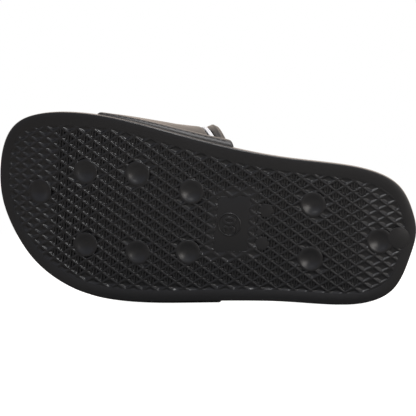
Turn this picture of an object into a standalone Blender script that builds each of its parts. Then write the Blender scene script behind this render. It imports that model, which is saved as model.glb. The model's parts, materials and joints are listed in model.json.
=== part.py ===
"""Sport slide sandal for the right foot, child's size 30, lying on its lateral side.

The shoe is modelled upright and unbent: toe along +X, medial side along +Y, up along +Z, the tread on
z = 0. At the end it is laid on its side the way it comes to rest by itself.
"""

from collections import namedtuple
from math import pi, radians, sin, tan

import bmesh
import bpy
import numpy as np
from mathutils import Matrix, Vector

# Sole unit, in metres.
SOLE_LENGTH = 0.2045
BALL_WIDTH = 0.087
HEEL_WIDTH = 0.065
HEEL_THICKNESS = 0.0235
BALL_THICKNESS = 0.0165
TOE_THICKNESS = 0.0130
TOE_SPRING = 0.0100
WAIST_LIFT = 0.0008
HEEL_LIFT = 0.0010
ARCH_RISE = 0.0045
LIP_HEIGHT = 0.0050
LIP_STEP = 0.0024
EDGE_ROUND = 0.0012
WALL_DRAFT = radians(2.5)
RIM_WIDTH = 0.0070
TREAD_DEPTH = 0.0016
LAND_WIDTH = 0.0024
PLAQUE_CORNER_RADIUS = 0.0015

# Where along the sole its forms lie, as shares of its length from the toe.
SPRING_STATION = 0.30
HEEL_LIFT_STATION = 0.93
WAIST_STATION = 0.52
WAIST_REACH = 0.13
TOE_FULL_STATION = 0.28
RISE_START_STATION = 0.34
RISE_END_STATION = 0.78
ARCH_STATION = 0.60
ARCH_REACH = 0.20
BALL_DISH_START_STATION = 0.40
BALL_DISH_END_STATION = 0.60
HEEL_CUP_START_STATION = 0.52
HEEL_CUP_END_STATION = 0.82
TOE_RIDGE_STATION = 0.185
TOE_RIDGE_REACH = 0.05
DISH_TAPER = 0.13
WAIST_START_STATION = 0.30
WAIST_END_STATION = 0.75

# Footbed, let into the top of the sole.
FOOTBED_THICKNESS = 0.0040
FOOTBED_PROUD = 0.0008
HEEL_CUP = 0.0030
BALL_DISH = 0.0014
TOE_RIDGE = 0.0014

# Suction cups, plaque and pads in the tread.
CUP_RADIUS = 0.0060
DISH_RADIUS = 0.0044
DISH_DEPTH = 0.0012
DISC_RADIUS = 0.0050
PAD_RADIUS = 0.0036
SMALL_PAD_RADIUS = 0.0016
PLAQUE_SUNK = 0.0003
BOSS_ROOT = 0.0020

# Strap.
STRAP_FRONT_STATION = 0.0480
STRAP_REAR_STATION = 0.1158
FRONT_SETBACK = 0.0100
REAR_SETBACK = 0.0240
CROWN_FRONT = 0.0460
CROWN_REAR = 0.0590
LATERAL_HEM_FRONT = 0.0040
LATERAL_HEM_REAR = 0.0045
MEDIAL_HEM_FRONT = 0.0031
MEDIAL_HEM_REAR = 0.0048
PANEL_THICKNESS = 0.0028
REAR_PANEL_THICKNESS = 0.0033
EDGE_THICKNESS = 0.0013
GROOVE_THICKNESS = 0.0013
GROOVE_WIDTH = 0.0030
REAR_PANEL_WIDTH = 0.0052
HEM_FULL = 0.2
HEM_END = 0.9
LATERAL_BULGE = 0.0055
MEDIAL_FRONT_BULGE = -0.0013
MEDIAL_REAR_BULGE = 0.0088
MEDIAL_BULGE_POWER = 2.6
FRONT_EDGE_POWER = 1.0
REAR_EDGE_POWER = 0.9
EDGE_SOFT = 0.0017
INLAY_THICKNESS = 0.0010
INLAY_MARGIN = 0.0005

# Fits and mesh fineness.
CLEARANCE = 0.0003
SIDE_STEPS = 46
CROSS_STEPS = 6
ARCH_STEPS = 24
OUTLINE_SPLINE_STEPS = 12
ARCH_SPLINE_STEPS = 8
PANEL_STEPS = 6
CUP_SIDES = 20
PAD_SIDES = 6
SMALL_PAD_SIDES = 4
LEG_SHARES = (0.0, 0.5)

# Outline seen from above: shares of the sole's length from the toe tip, and of the local width.
OutlineRow = namedtuple("OutlineRow", "medial_station medial_across lateral_station lateral_across")
OUTLINE = [
    OutlineRow(0.000, 0.140, 0.000, 0.140),
    OutlineRow(0.008, 0.302, 0.012, -0.030),
    OutlineRow(0.032, 0.406, 0.050, -0.200),
    OutlineRow(0.075, 0.471, 0.105, -0.345),
    OutlineRow(0.165, 0.511, 0.178, -0.448),
    OutlineRow(0.290, 0.500, 0.265, -0.503),
    OutlineRow(0.420, 0.469, 0.400, -0.519),
    OutlineRow(0.560, 0.463, 0.560, -0.548),
    OutlineRow(0.700, 0.475, 0.700, -0.571),
    OutlineRow(0.820, 0.466, 0.820, -0.564),
    OutlineRow(0.900, 0.427, 0.900, -0.524),
    OutlineRow(0.955, 0.334, 0.960, -0.403),
    OutlineRow(0.987, 0.168, 0.990, -0.160),
    OutlineRow(0.999, 0.020, 0.999, 0.020),
]

# Arch of the strap above the sole: across as a share of the half span from lateral to medial,
# up as a share of the free height, and how much of each side's bulge it takes.
ArchRow = namedtuple("ArchRow", "across up lateral_bulge medial_bulge")
ARCH = [
    ArchRow(-1.00, 0.00, 0.28, 0.00),
    ArchRow(-1.00, 0.24, 0.95, 0.00),
    ArchRow(-0.94, 0.50, 1.00, 0.00),
    ArchRow(-0.68, 0.80, 0.50, 0.00),
    ArchRow(-0.24, 0.98, 0.00, 0.00),
    ArchRow(0.28, 0.99, 0.00, 0.00),
    ArchRow(0.70, 0.82, 0.00, 0.50),
    ArchRow(0.95, 0.54, 0.00, 1.00),
    ArchRow(1.01, 0.26, 0.00, 0.90),
    ArchRow(1.00, 0.00, 0.00, 0.30),
]

# Forms of the tread: share of the sole's length from the toe, and of the local width towards medial.
Place = namedtuple("Place", "station across")
CUPS = [
    Place(0.109, 0.054),
    Place(0.221, 0.192),
    Place(0.231, -0.216),
    Place(0.346, 0.208),
    Place(0.358, -0.234),
    Place(0.476, 0.144),
    Place(0.477, -0.225),
    Place(0.760, 0.161),
    Place(0.764, -0.241),
    Place(0.918, -0.063),
]
HEEL_DISC = Place(0.961, -0.026)
PLAQUE_CORNERS = [Place(0.536, 0.134), Place(0.619, 0.187), Place(0.620, -0.224), Place(0.532, -0.229)]
PADS = [Place(0.654, 0.083), Place(0.650, -0.150)]
SMALL_PADS = [Place(0.641, -0.004), Place(0.639, -0.075)]

# Dish of a cup: shares of its radius and of its depth, from its edge to its middle.
DishRow = namedtuple("DishRow", "out deep")
DISH = [DishRow(1.0, 0.0), DishRow(0.8, 0.55), DishRow(0.45, 0.9), DishRow(0.0, 1.0)]


def smooth(value, low, high):
    """Eases from 0 at low to 1 at high."""
    share = min(1.0, max(0.0, (value - low) / (high - low)))
    return share * share * (3.0 - 2.0 * share)


def bump(value, middle, reach):
    """A soft hump, 1 at the middle and 0 beyond its reach."""
    share = min(1.0, abs(value - middle) / reach)
    return (1.0 - share * share) ** 2


def spline(points, closed, steps):
    """Smooth curve through the points, parametrised by chord length, with steps samples per span."""
    knots = np.array(points, float)
    if closed:
        knots = np.vstack([knots, knots[:1]])
    chords = np.sqrt(((knots[1:] - knots[:-1]) ** 2).sum(axis=1)) ** 0.5
    count = len(knots)
    system = np.zeros((count, count))
    right = np.zeros(knots.shape)
    for row in range(1, count - 1):
        before, after = chords[row - 1], chords[row]
        system[row, row - 1 : row + 2] = before, 2 * (before + after), after
        right[row] = 6 * ((knots[row + 1] - knots[row]) / after - (knots[row] - knots[row - 1]) / before)
    if closed:
        system[0, 0], system[0, -1] = 1, -1
        first, last = chords[0], chords[-1]
        system[-1, 0:2] = 2 * first, first
        system[-1, -2:] = last, 2 * last
        right[-1] = 6 * ((knots[1] - knots[0]) / first - (knots[-1] - knots[-2]) / last)
    else:
        system[0, 0] = 1
        system[-1, -1] = 1
    bends = np.linalg.solve(system, right)
    samples = []
    for row in range(count - 1):
        span = chords[row]
        for step in range(steps):
            b = step / steps
            a = 1.0 - b
            curve = (a**3 - a) * bends[row] + (b**3 - b) * bends[row + 1]
            samples.append(a * knots[row] + b * knots[row + 1] + curve * span * span / 6)
    if not closed:
        samples.append(knots[-1])
    return np.array(samples)


def evenly(points, pieces):
    """The same open curve with its length divided into equal pieces."""
    steps = np.sqrt(((points[1:] - points[:-1]) ** 2).sum(axis=1))
    along = np.concatenate([[0.0], np.cumsum(steps)])
    wanted = np.linspace(0.0, along[-1], pieces + 1)
    return np.array([[np.interp(at, along, points[:, axis]) for axis in range(2)] for at in wanted])


def local_width(station):
    """Width that the outline's across shares are measured by, at a share of the length from the toe."""
    heel = smooth(station, WAIST_START_STATION, WAIST_END_STATION)
    return BALL_WIDTH * (1.0 - heel) + HEEL_WIDTH * heel


def on_plan(station, across):
    """Plan position of a share of the length from the toe and a share of the local width."""
    return SOLE_LENGTH * (0.5 - station), across * local_width(station)


def station_of(x):
    return 0.5 - x / SOLE_LENGTH


def outline():
    """Medial and lateral edges of the sole as two curves from the toe tip to the heel tip."""
    medial = [on_plan(row.medial_station, row.medial_across) for row in OUTLINE]
    lateral = [on_plan(row.lateral_station, row.lateral_across) for row in OUTLINE]
    around = medial + lateral[-2:0:-1]
    curve = spline(around, True, OUTLINE_SPLINE_STEPS)
    half = OUTLINE_SPLINE_STEPS * (len(OUTLINE) - 1)
    back = np.vstack([curve[half:], curve[:1]])[::-1]
    return evenly(curve[: half + 1], SIDE_STEPS), evenly(back, SIDE_STEPS)


MEDIAL_EDGE, LATERAL_EDGE = outline()


def perimeter():
    """The outline as one ring of plan points from the toe tip over medial to the heel tip and back."""
    return np.vstack([MEDIAL_EDGE, LATERAL_EDGE[-2:0:-1]])


def inward_normals(ring):
    """Unit normals that point into the ring, which runs clockwise seen from above."""
    run = np.roll(ring, -1, axis=0) - np.roll(ring, 1, axis=0)
    run /= np.sqrt((run**2).sum(axis=1))[:, None]
    return np.column_stack([-run[:, 1], run[:, 0]])


def edge_y(side, x):
    """Distance of the sole's edge from the shoe's axis at x, side 1 for medial and -1 for lateral."""
    edge = MEDIAL_EDGE if side > 0 else LATERAL_EDGE
    return float(np.interp(-x, -edge[:, 0], edge[:, 1]))


def ground(x):
    """Height of the tread's own surface: flat at heel and ball, sprung toe, slightly lifted waist."""
    station = station_of(x)
    toe = max(0.0, 1.0 - station / SPRING_STATION) ** 2 * TOE_SPRING
    heel = max(0.0, (station - HEEL_LIFT_STATION) / (1.0 - HEEL_LIFT_STATION)) ** 2 * HEEL_LIFT
    return toe + heel + WAIST_LIFT * bump(station, WAIST_STATION, WAIST_REACH)


def thickness(x):
    station = station_of(x)
    front = TOE_THICKNESS + (BALL_THICKNESS - TOE_THICKNESS) * smooth(station, 0.0, TOE_FULL_STATION)
    rise = smooth(station, RISE_START_STATION, RISE_END_STATION)
    return front + (HEEL_THICKNESS - BALL_THICKNESS) * rise


def arch_rise(x, across):
    """The medial arch's extra height, by how far across towards medial a point lies, from -1 to 1."""
    return ARCH_RISE * bump(station_of(x), ARCH_STATION, ARCH_REACH) * max(0.0, across) ** 2


def top_edge(x, across):
    """Height of the sole's top land."""
    return ground(x) + thickness(x) + arch_rise(x, across)


def footbed_top(x, across):
    """Height of the footbed: heel cup, dished ball, low ridge under the toes, and the arch."""
    station = station_of(x)
    heel = HEEL_CUP * smooth(station, HEEL_CUP_START_STATION, HEEL_CUP_END_STATION)
    ball = BALL_DISH * (1.0 - smooth(station, BALL_DISH_START_STATION, BALL_DISH_END_STATION))
    inside = smooth(station, 0.0, DISH_TAPER) * smooth(1.0 - station, 0.0, DISH_TAPER)
    hollow = (heel + ball) * inside * (1.0 - across * across)
    ridge = TOE_RIDGE * bump(station, TOE_RIDGE_STATION, TOE_RIDGE_REACH) * (1.0 - across**4)
    return top_edge(x, across) + FOOTBED_PROUD - hollow + ridge


def wall_inset(x, share):
    """How far the side wall over the lip lies inside the outline, at a share of the wall's height."""
    return LIP_STEP + (thickness(x) - LIP_HEIGHT) * tan(WALL_DRAFT) * share


def material(name, colour, roughness):
    made = bpy.data.materials.new(name)
    made.use_nodes = True
    shader = made.node_tree.nodes["Principled BSDF"]
    shader.inputs["Base Color"].default_value = (*colour, 1.0)
    shader.inputs["Roughness"].default_value = roughness
    shader.inputs["Metallic"].default_value = 0.0
    return made


def add_object(name, shape, finish, smooth_angle):
    mesh = bpy.data.meshes.new(name)
    bmesh.ops.recalc_face_normals(shape, faces=shape.faces)
    shape.to_mesh(mesh)
    shape.free()
    mesh.shade_smooth()
    mesh.set_sharp_from_angle(angle=smooth_angle)
    mesh.materials.append(finish)
    made = bpy.data.objects.new(name, mesh)
    bpy.context.scene.collection.objects.link(made)
    return made


def add_ring(shape, points):
    """A closed ring of edges through 3-D points."""
    verts = [shape.verts.new(point) for point in points]
    edges = [shape.edges.new((vert, verts[(at + 1) % len(verts)])) for at, vert in enumerate(verts)]
    return verts, edges


def span(shape, ring, height):
    """Closes a ring of the sole's outline by rungs from medial to lateral, at the given heights."""
    steps = len(ring) // 2
    rungs = [[ring[0]]]
    for at in range(1, steps):
        medial, lateral = ring[at], ring[-at]
        rung = [medial]
        for cross in range(1, CROSS_STEPS):
            share = cross / CROSS_STEPS
            plan = medial.co.lerp(lateral.co, share)
            rung.append(shape.verts.new((plan.x, plan.y, height(plan.x, 1.0 - 2.0 * share))))
        rungs.append(rung + [lateral])
    rungs.append([ring[steps]])
    for one, two in zip(rungs, rungs[1:]):
        if len(one) == 1 or len(two) == 1:
            tip, rung = (one[0], two) if len(one) == 1 else (two[0], one)
            for a, b in zip(rung, rung[1:]):
                shape.faces.new((tip, a, b))
            continue
        for at in range(CROSS_STEPS):
            shape.faces.new((one[at], one[at + 1], two[at + 1], two[at]))


def outline_ring(shape, inset, height):
    """Ring of the outline moved inwards, with a height worked out for each of its points."""
    plan = perimeter()
    normals = inward_normals(plan)
    points = []
    for at, (x, y) in enumerate(plan):
        depth = inset(x)
        inner_x = x + normals[at][0] * depth
        inner_y = y + normals[at][1] * depth
        points.append((inner_x, inner_y, height(inner_x, 1.0 if at < SIDE_STEPS else -1.0)))
    return add_ring(shape, points)


def sole_rings():
    """Inset and height of each ring of the sole, from the sunk tread outwards, up and over to the recess."""

    def low(inset, rise):
        return lambda x: inset, lambda x, across: ground(x) + rise

    def high(inset, drop):
        return lambda x: wall_inset(x, 1.0) + inset, lambda x, across: top_edge(x, across) - drop

    soft = EDGE_ROUND * 0.3
    return (
        low(RIM_WIDTH + TREAD_DEPTH * 0.4, TREAD_DEPTH),
        low(RIM_WIDTH, 0.0),
        low(EDGE_ROUND, 0.0),
        low(soft, soft),
        low(0.0, EDGE_ROUND),
        low(0.0, LIP_HEIGHT - EDGE_ROUND / 2),
        low(EDGE_ROUND / 2, LIP_HEIGHT),
        low(LIP_STEP, LIP_HEIGHT),
        high(0.0, EDGE_ROUND),
        high(soft, soft),
        high(EDGE_ROUND, 0.0),
        high(LAND_WIDTH, 0.0),
        (lambda x: wall_inset(x, 1.0) + LAND_WIDTH, footbed_floor),
    )


def footbed_floor(x, across):
    """Bottom of the sole's recess, a clearance under the footbed."""
    return footbed_top(x, across) - FOOTBED_THICKNESS - CLEARANCE


def boss(shape, radius, sides, place, sunk, dished=False):
    """Round or many-sided boss that rises out of the sunk tread to near the rim's level."""
    x, y = on_plan(*place)
    level = ground(x) + sunk
    root = ground(x) + TREAD_DEPTH + BOSS_ROOT
    profile = [(0.0, root), (radius, root), (radius, level)]
    if dished:
        profile += [(DISH_RADIUS * out, level + DISH_DEPTH * deep) for out, deep in DISH]
    else:
        profile.append((0.0, level))
    verts = [shape.verts.new((out, 0.0, z)) for out, z in profile]
    edges = [shape.edges.new(pair) for pair in zip(verts, verts[1:])]
    turned = {"axis": (0, 0, 1), "cent": (0, 0, 0), "angle": 2 * pi, "steps": sides, "use_merge": True}
    bmesh.ops.spin(shape, geom=verts + edges, **turned)
    fresh = [vert for vert in shape.verts if not vert.tag]
    bmesh.ops.remove_doubles(shape, verts=fresh, dist=1e-6)
    slope = (ground(x + radius) - ground(x - radius)) / (2 * radius)
    for vert in shape.verts:
        if not vert.tag:
            vert.co += Vector((x, y, slope * vert.co.x))
            vert.tag = True


def plaque(shape):
    """Smooth four-cornered plaque of the tread, a little below the rim."""
    corners = [on_plan(station, across) for station, across in PLAQUE_CORNERS]
    root = [shape.verts.new((x, y, ground(x) + TREAD_DEPTH + BOSS_ROOT)) for x, y in corners]
    face = shape.faces.new(root)
    lifted = bmesh.ops.extrude_face_region(shape, geom=[face])
    for vert in lifted["geom"]:
        if isinstance(vert, bmesh.types.BMVert):
            vert.co.z = ground(vert.co.x) + PLAQUE_SUNK
    upright = [edge for edge in shape.edges if abs(edge.verts[0].co.z - edge.verts[1].co.z) > BOSS_ROOT]
    near = [edge for edge in upright if not edge.verts[0].tag]
    rounded = {"offset": PLAQUE_CORNER_RADIUS, "segments": 2, "profile": 0.5, "affect": "EDGES"}
    bmesh.ops.bevel(shape, geom=near, material=-1, clamp_overlap=True, **rounded)
    for vert in shape.verts:
        vert.tag = True


def unite(target, tool):
    """Joins a tool solid into its target for good."""
    joining = target.modifiers.new("unite", "BOOLEAN")
    joining.operation = "UNION"
    joining.solver = "EXACT"
    joining.object = tool
    settled = target.evaluated_get(bpy.context.evaluated_depsgraph_get())
    joined = bpy.data.meshes.new_from_object(settled)
    target.modifiers.clear()
    target.data = joined
    bpy.data.objects.remove(tool)


def make_sole():
    shape = bmesh.new()
    rings = [outline_ring(shape, inset, height) for inset, height in sole_rings()]
    for (_, one), (_, two) in zip(rings, rings[1:]):
        bmesh.ops.bridge_loops(shape, edges=one + two)
    span(shape, rings[0][0], lambda x, across: ground(x) + TREAD_DEPTH)
    span(shape, rings[-1][0], footbed_floor)
    finish = material("black_polyurethane", (0.020, 0.020, 0.022), 0.5)
    sole = add_object("sole", shape, finish, radians(35))

    bosses = bmesh.new()
    plaque(bosses)
    for place in CUPS:
        boss(bosses, CUP_RADIUS, CUP_SIDES, place, 0.0, dished=True)
    for place in PADS:
        boss(bosses, PAD_RADIUS, PAD_SIDES, place, PLAQUE_SUNK)
    for place in SMALL_PADS:
        boss(bosses, SMALL_PAD_RADIUS, SMALL_PAD_SIDES, place, PLAQUE_SUNK)
    unite(sole, add_object("bosses", bosses, finish, radians(35)))
    disc = bmesh.new()
    boss(disc, DISC_RADIUS, CUP_SIDES, HEEL_DISC, PLAQUE_SUNK)
    unite(sole, add_object("disc", disc, finish, radians(35)))
    return sole


def make_footbed():
    """Foam layer in the recess, a clearance from its wall and floor."""

    def side(x):
        return wall_inset(x, 1.0) + LAND_WIDTH + CLEARANCE

    def under(x, across):
        return footbed_floor(x, across) + CLEARANCE

    shape = bmesh.new()
    rings = (
        outline_ring(shape, side, under),
        outline_ring(shape, side, lambda x, across: footbed_top(x, across) - FOOTBED_PROUD),
        outline_ring(shape, lambda x: side(x) + FOOTBED_PROUD, footbed_top),
    )
    for (_, one), (_, two) in zip(rings, rings[1:]):
        bmesh.ops.bridge_loops(shape, edges=one + two)
    span(shape, rings[0][0], under)
    span(shape, rings[-1][0], footbed_top)
    return add_object("footbed", shape, material("black_foam", (0.024, 0.024, 0.025), 0.7), radians(40))


def strap_station(share, along):
    """Station from the toe of a strap point, by its share of the arch and its share from front to rear."""
    height = sin(pi * share)
    front = STRAP_FRONT_STATION + FRONT_SETBACK * height**FRONT_EDGE_POWER
    rear = STRAP_REAR_STATION - REAR_SETBACK * height**REAR_EDGE_POWER
    return front + (rear - front) * along


def strap_width(share):
    return strap_station(share, 1.0) - strap_station(share, 0.0)


def seat(side, x, share):
    """Inner side of the strap's leg at a share of the wall's height, a clearance off the sole."""
    return edge_y(side, x) - side * (wall_inset(x, share) - CLEARANCE)


def arch_section(x):
    """Inner line of the strap from the lateral hem over the foot to the medial hem, across and up."""
    along = (station_of(x) * SOLE_LENGTH - STRAP_FRONT_STATION) / (STRAP_REAR_STATION - STRAP_FRONT_STATION)
    rear = min(1.0, max(0.0, along))
    crown = CROWN_FRONT + (CROWN_REAR - CROWN_FRONT) * along
    base = ground(x) + LIP_HEIGHT + CLEARANCE
    lateral_top = top_edge(x, -1.0)
    medial_top = top_edge(x, 1.0)
    lateral = seat(-1, x, 1.0)
    medial = seat(1, x, 1.0)
    middle = (medial + lateral) / 2
    half = (medial - lateral) / 2
    opening = rear**MEDIAL_BULGE_POWER
    medial_bulge = MEDIAL_FRONT_BULGE + (MEDIAL_REAR_BULGE - MEDIAL_FRONT_BULGE) * opening
    controls = []
    for row in ARCH:
        foot = lateral_top if row.across < 0 else medial_top
        y = middle + row.across * half - row.lateral_bulge * LATERAL_BULGE + row.medial_bulge * medial_bulge
        controls.append((y, foot + row.up * (crown - foot)))
    free = evenly(spline(controls, False, ARCH_SPLINE_STEPS), ARCH_STEPS)
    legs = []
    for side, top in ((-1, lateral_top), (1, medial_top)):
        legs.append([(seat(side, x, share), base + (top - base) * share) for share in LEG_SHARES])
    return legs[0] + [tuple(point) for point in free] + legs[1][::-1]


ARCH_POINTS = ARCH_STEPS + 1 + 2 * len(LEG_SHARES)


def strap_point(at, station):
    """Inner point and outward direction of the strap at a point of the arch and a station."""
    x = SOLE_LENGTH / 2 - station
    line = np.array(arch_section(x))
    run = line[min(at + 1, len(line) - 1)] - line[max(at - 1, 0)]
    run /= np.sqrt((run**2).sum())
    if at < len(LEG_SHARES):
        run = np.array((0.0, 1.0))
    if at >= len(line) - len(LEG_SHARES):
        run = np.array((0.0, -1.0))
    return Vector((x, line[at][0], line[at][1])), Vector((0.0, -run[1], run[0]))


def strap_rows(share):
    """Rows from the front to the rear edge: share of the way between them and thickness there."""
    width = strap_width(share)
    rear_panel = width - REAR_PANEL_WIDTH
    groove = rear_panel - GROOVE_WIDTH
    front_shoulder = (EDGE_THICKNESS + 2 * PANEL_THICKNESS) / 3
    rear_shoulder = (EDGE_THICKNESS + 2 * REAR_PANEL_THICKNESS) / 3
    panel = groove - 2 * EDGE_SOFT
    rows = [(0.0, EDGE_THICKNESS), (EDGE_SOFT / 3, front_shoulder)]
    rows += [(EDGE_SOFT + panel * step / PANEL_STEPS, PANEL_THICKNESS) for step in range(PANEL_STEPS + 1)]
    rows += [
        (groove - EDGE_SOFT / 4, front_shoulder),
        (groove, GROOVE_THICKNESS),
        (rear_panel, GROOVE_THICKNESS),
        (rear_panel + EDGE_SOFT / 4, rear_shoulder),
        (rear_panel + REAR_PANEL_WIDTH / 3, REAR_PANEL_THICKNESS),
        (rear_panel + REAR_PANEL_WIDTH * 2 / 3, REAR_PANEL_THICKNESS),
        (width - EDGE_SOFT / 3, rear_shoulder),
        (width, EDGE_THICKNESS),
    ]
    return [(distance / width, depth) for distance, depth in rows]


GROOVE_ROWS = (PANEL_STEPS + 4, PANEL_STEPS + 5)


def hem_thickness(along, width, front, rear):
    """Thickness of a hem at a share of the strap's width, rounded off at the front and rear edges."""
    inside = min(1.0, max(0.0, min(along, 1.0 - along) * width / EDGE_SOFT))
    full = front + (rear - front) * along
    return EDGE_THICKNESS + (full - EDGE_THICKNESS) * (1.0 - (1.0 - inside) ** 2) ** 0.5


def strap_thickness(at, along, depth):
    """Wall of the strap: the thick hem at the foot of each leg, and the row's own depth above it."""
    climbed = min(at, ARCH_POINTS - 1 - at) / len(LEG_SHARES)
    low = 1.0 - smooth(climbed, HEM_FULL, HEM_END)
    ends = (LATERAL_HEM_FRONT, LATERAL_HEM_REAR)
    if at > ARCH_POINTS / 2:
        ends = (MEDIAL_HEM_FRONT, MEDIAL_HEM_REAR)
    hem = hem_thickness(along, strap_width(at / (ARCH_POINTS - 1)), *ends)
    return depth * (1.0 - low) + hem * low


def arch_ring(row, low, high, inwards=0.0, spared=0):
    """Closed ring of points over the arch at one row of the strap, between two heights off its inner side.

    The points that are spared at each end of the arch are left out.
    """
    inner = []
    outer = []
    for at in range(spared, ARCH_POINTS - spared):
        share = at / (ARCH_POINTS - 1)
        along, depth = strap_rows(share)[row]
        along += inwards / strap_width(share)
        point, outwards = strap_point(at, strap_station(share, along))
        wall = strap_thickness(at, along, depth)
        inner.append(point + outwards * low(wall))
        outer.append(point + outwards * high(wall))
    return inner + outer[::-1]


def arched_solid(name, rings, finish):
    """One closed solid through the rings, with a strip of faces over each end."""
    shape = bmesh.new()
    made = [add_ring(shape, ring) for ring in rings]
    for (_, one), (_, two) in zip(made, made[1:]):
        bmesh.ops.bridge_loops(shape, edges=one + two)
    for verts, _ in (made[0], made[-1]):
        count = len(verts)
        for at in range(count // 2 - 1):
            shape.faces.new((verts[at], verts[at + 1], verts[count - 2 - at], verts[count - 1 - at]))
    return add_object(name, shape, finish, radians(40))


def make_strap():
    """Padded arch over the instep, open at both ends and underneath, with a groove between its panels."""
    rings = [arch_ring(row, lambda wall: 0.0, lambda wall: wall) for row in range(len(strap_rows(0.5)))]
    return arched_solid("strap", rings, material("black_synthetic_leather", (0.022, 0.021, 0.020), 0.45))


def make_inlay():
    """White woven strip on the floor of the groove, a little narrower than the groove, from hem to hem."""

    def under(wall):
        return wall + CLEARANCE

    def over(wall):
        return wall + CLEARANCE + INLAY_THICKNESS

    rings = []
    for row, way in zip(GROOVE_ROWS, (1, -1)):
        rings.append(arch_ring(row, under, over, way * INLAY_MARGIN, len(LEG_SHARES)))
    return arched_solid("inlay", rings, material("white_woven_strip", (0.80, 0.80, 0.79), 0.8))


def centre_of_volume(pieces):
    """Centre of volume of all the pieces together."""
    total = 0.0
    moment = Vector((0.0, 0.0, 0.0))
    for piece in pieces:
        shape = bmesh.new()
        shape.from_mesh(piece.data)
        bmesh.ops.triangulate(shape, faces=shape.faces)
        for face in shape.faces:
            a, b, c = (vert.co for vert in face.verts)
            part = a.dot(b.cross(c)) / 6.0
            total += part
            moment += part * (a + b + c) / 4.0
        shape.free()
    return moment / total


def resting_face(pieces):
    """Outward normal of the convex hull's facet on which the shoe lies stably on its lateral side."""
    shape = bmesh.new()
    for piece in pieces:
        for vert in piece.data.vertices:
            shape.verts.new(vert.co)
    bmesh.ops.convex_hull(shape, input=shape.verts)
    centre = centre_of_volume(pieces)
    best = None
    for face in shape.faces:
        face.normal_update()
        normal = face.normal
        foot = centre + normal * (face.verts[0].co - centre).dot(normal)
        inside = True
        corners = [vert.co for vert in face.verts]
        for one, two in zip(corners, corners[1:] + corners[:1]):
            if (two - one).cross(foot - one).dot(normal) < 0.0:
                inside = False
        if inside and (best is None or normal.y < best.y):
            best = normal.copy()
    shape.free()
    return best


def lie_down(pieces):
    """Parents the pieces to an empty that lays the shoe on its lateral side, toe towards -X."""
    down = resting_face(pieces)
    up = -down
    toe = Vector((1.0, 0.0, 0.0))
    along = -(toe - toe.dot(up) * up).normalized()
    back = up.cross(along)
    turn = Matrix((along, back, up)).to_4x4()
    corners = [turn @ vert.co for piece in pieces for vert in piece.data.vertices]
    low = [min(corner[axis] for corner in corners) for axis in range(3)]
    high = [max(corner[axis] for corner in corners) for axis in range(3)]
    shift = Vector((-(low[0] + high[0]) / 2, -(low[1] + high[1]) / 2, -low[2]))
    lying = bpy.data.objects.new("lying_pose", None)
    bpy.context.scene.collection.objects.link(lying)
    lying.matrix_world = Matrix.Translation(shift) @ turn
    for piece in pieces:
        piece.parent = lying


def build():
    for old in list(bpy.data.objects):
        bpy.data.objects.remove(old)
    pieces = [make_sole(), make_footbed(), make_strap(), make_inlay()]
    lie_down(pieces)


build()
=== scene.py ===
import json
from collections import namedtuple
from math import cos, pi, radians, sin, tan

import bmesh
import bpy
import numpy as np
from mathutils import Matrix, Vector


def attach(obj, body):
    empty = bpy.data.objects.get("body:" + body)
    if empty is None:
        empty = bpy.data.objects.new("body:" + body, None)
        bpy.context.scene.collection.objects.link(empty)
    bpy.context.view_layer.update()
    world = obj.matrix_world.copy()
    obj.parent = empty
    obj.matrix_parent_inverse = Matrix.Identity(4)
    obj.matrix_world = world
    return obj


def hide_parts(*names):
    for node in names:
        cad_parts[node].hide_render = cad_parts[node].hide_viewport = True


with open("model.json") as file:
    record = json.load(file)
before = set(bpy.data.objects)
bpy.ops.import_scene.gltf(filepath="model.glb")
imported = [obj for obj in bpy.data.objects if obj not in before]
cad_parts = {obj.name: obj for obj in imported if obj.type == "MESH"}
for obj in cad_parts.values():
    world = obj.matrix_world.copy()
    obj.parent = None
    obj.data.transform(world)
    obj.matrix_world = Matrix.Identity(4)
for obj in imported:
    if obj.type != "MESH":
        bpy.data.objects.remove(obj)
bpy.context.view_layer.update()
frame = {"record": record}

# Outsole and midsole: one moulding for a right foot, child's size 30, foamed from black polyurethane in a
# closed mould. A flat rim runs round the sunk tread, a lip stands out above it, and the side wall rises with
# fine upright ribs to the land that the footbed is let into.
SOLE_LENGTH = 0.2045
BALL_WIDTH = 0.087
HEEL_WIDTH = 0.065
HEEL_THICKNESS = 0.0235
BALL_THICKNESS = 0.0165
TOE_THICKNESS = 0.0130
TOE_SPRING = 0.0100
WAIST_LIFT = 0.0008
HEEL_LIFT = 0.0010
ARCH_RISE = 0.0045
LIP_HEIGHT = 0.0050
LIP_STEP = 0.0024
EDGE_ROUND = 0.0012
TREAD_EDGE_ROUND = 0.0006
WALL_DRAFT = radians(2.5)
LAND_WIDTH = 0.0024
FIELD_DEPTH = 0.0032
FOOTBED_THICKNESS = 0.0040
FOOTBED_PROUD = 0.0008
HEEL_CUP = 0.0030
BALL_DISH = 0.0014
TOE_RIDGE = 0.0014
CLEARANCE = 0.0003
SOFT_EDGE = 0.0003
WALL_SHARES = (0.15, 0.35, 0.55, 0.75, 0.92)
# Where each form lies, as shares of the sole's length from the toe: from and to, or middle and reach.
NARROWING = (0.30, 0.75)
SPRING_END = 0.30
HEEL_LIFT_START = 0.93
WAIST = (0.52, 0.13)
BALL_START = 0.28
HEEL_RISE = (0.34, 0.78)
ARCH_SPOT = (0.60, 0.20)
HEEL_CUP_RISE = (0.52, 0.82)
BALL_DISH_FALL = (0.40, 0.60)
HOLLOW_FADE = 0.13
TOE_RIDGE_SPOT = (0.185, 0.05)
# How finely the outline, the closed faces and the rounded edges are divided.
SIDE_STEPS = 170
CROSS_STEPS = 24
ROUND_STEPS = 4
OUTLINE_STEPS = 24
QUARTER = [radians(90.0 * step / ROUND_STEPS) for step in range(ROUND_STEPS + 1)]

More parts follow.
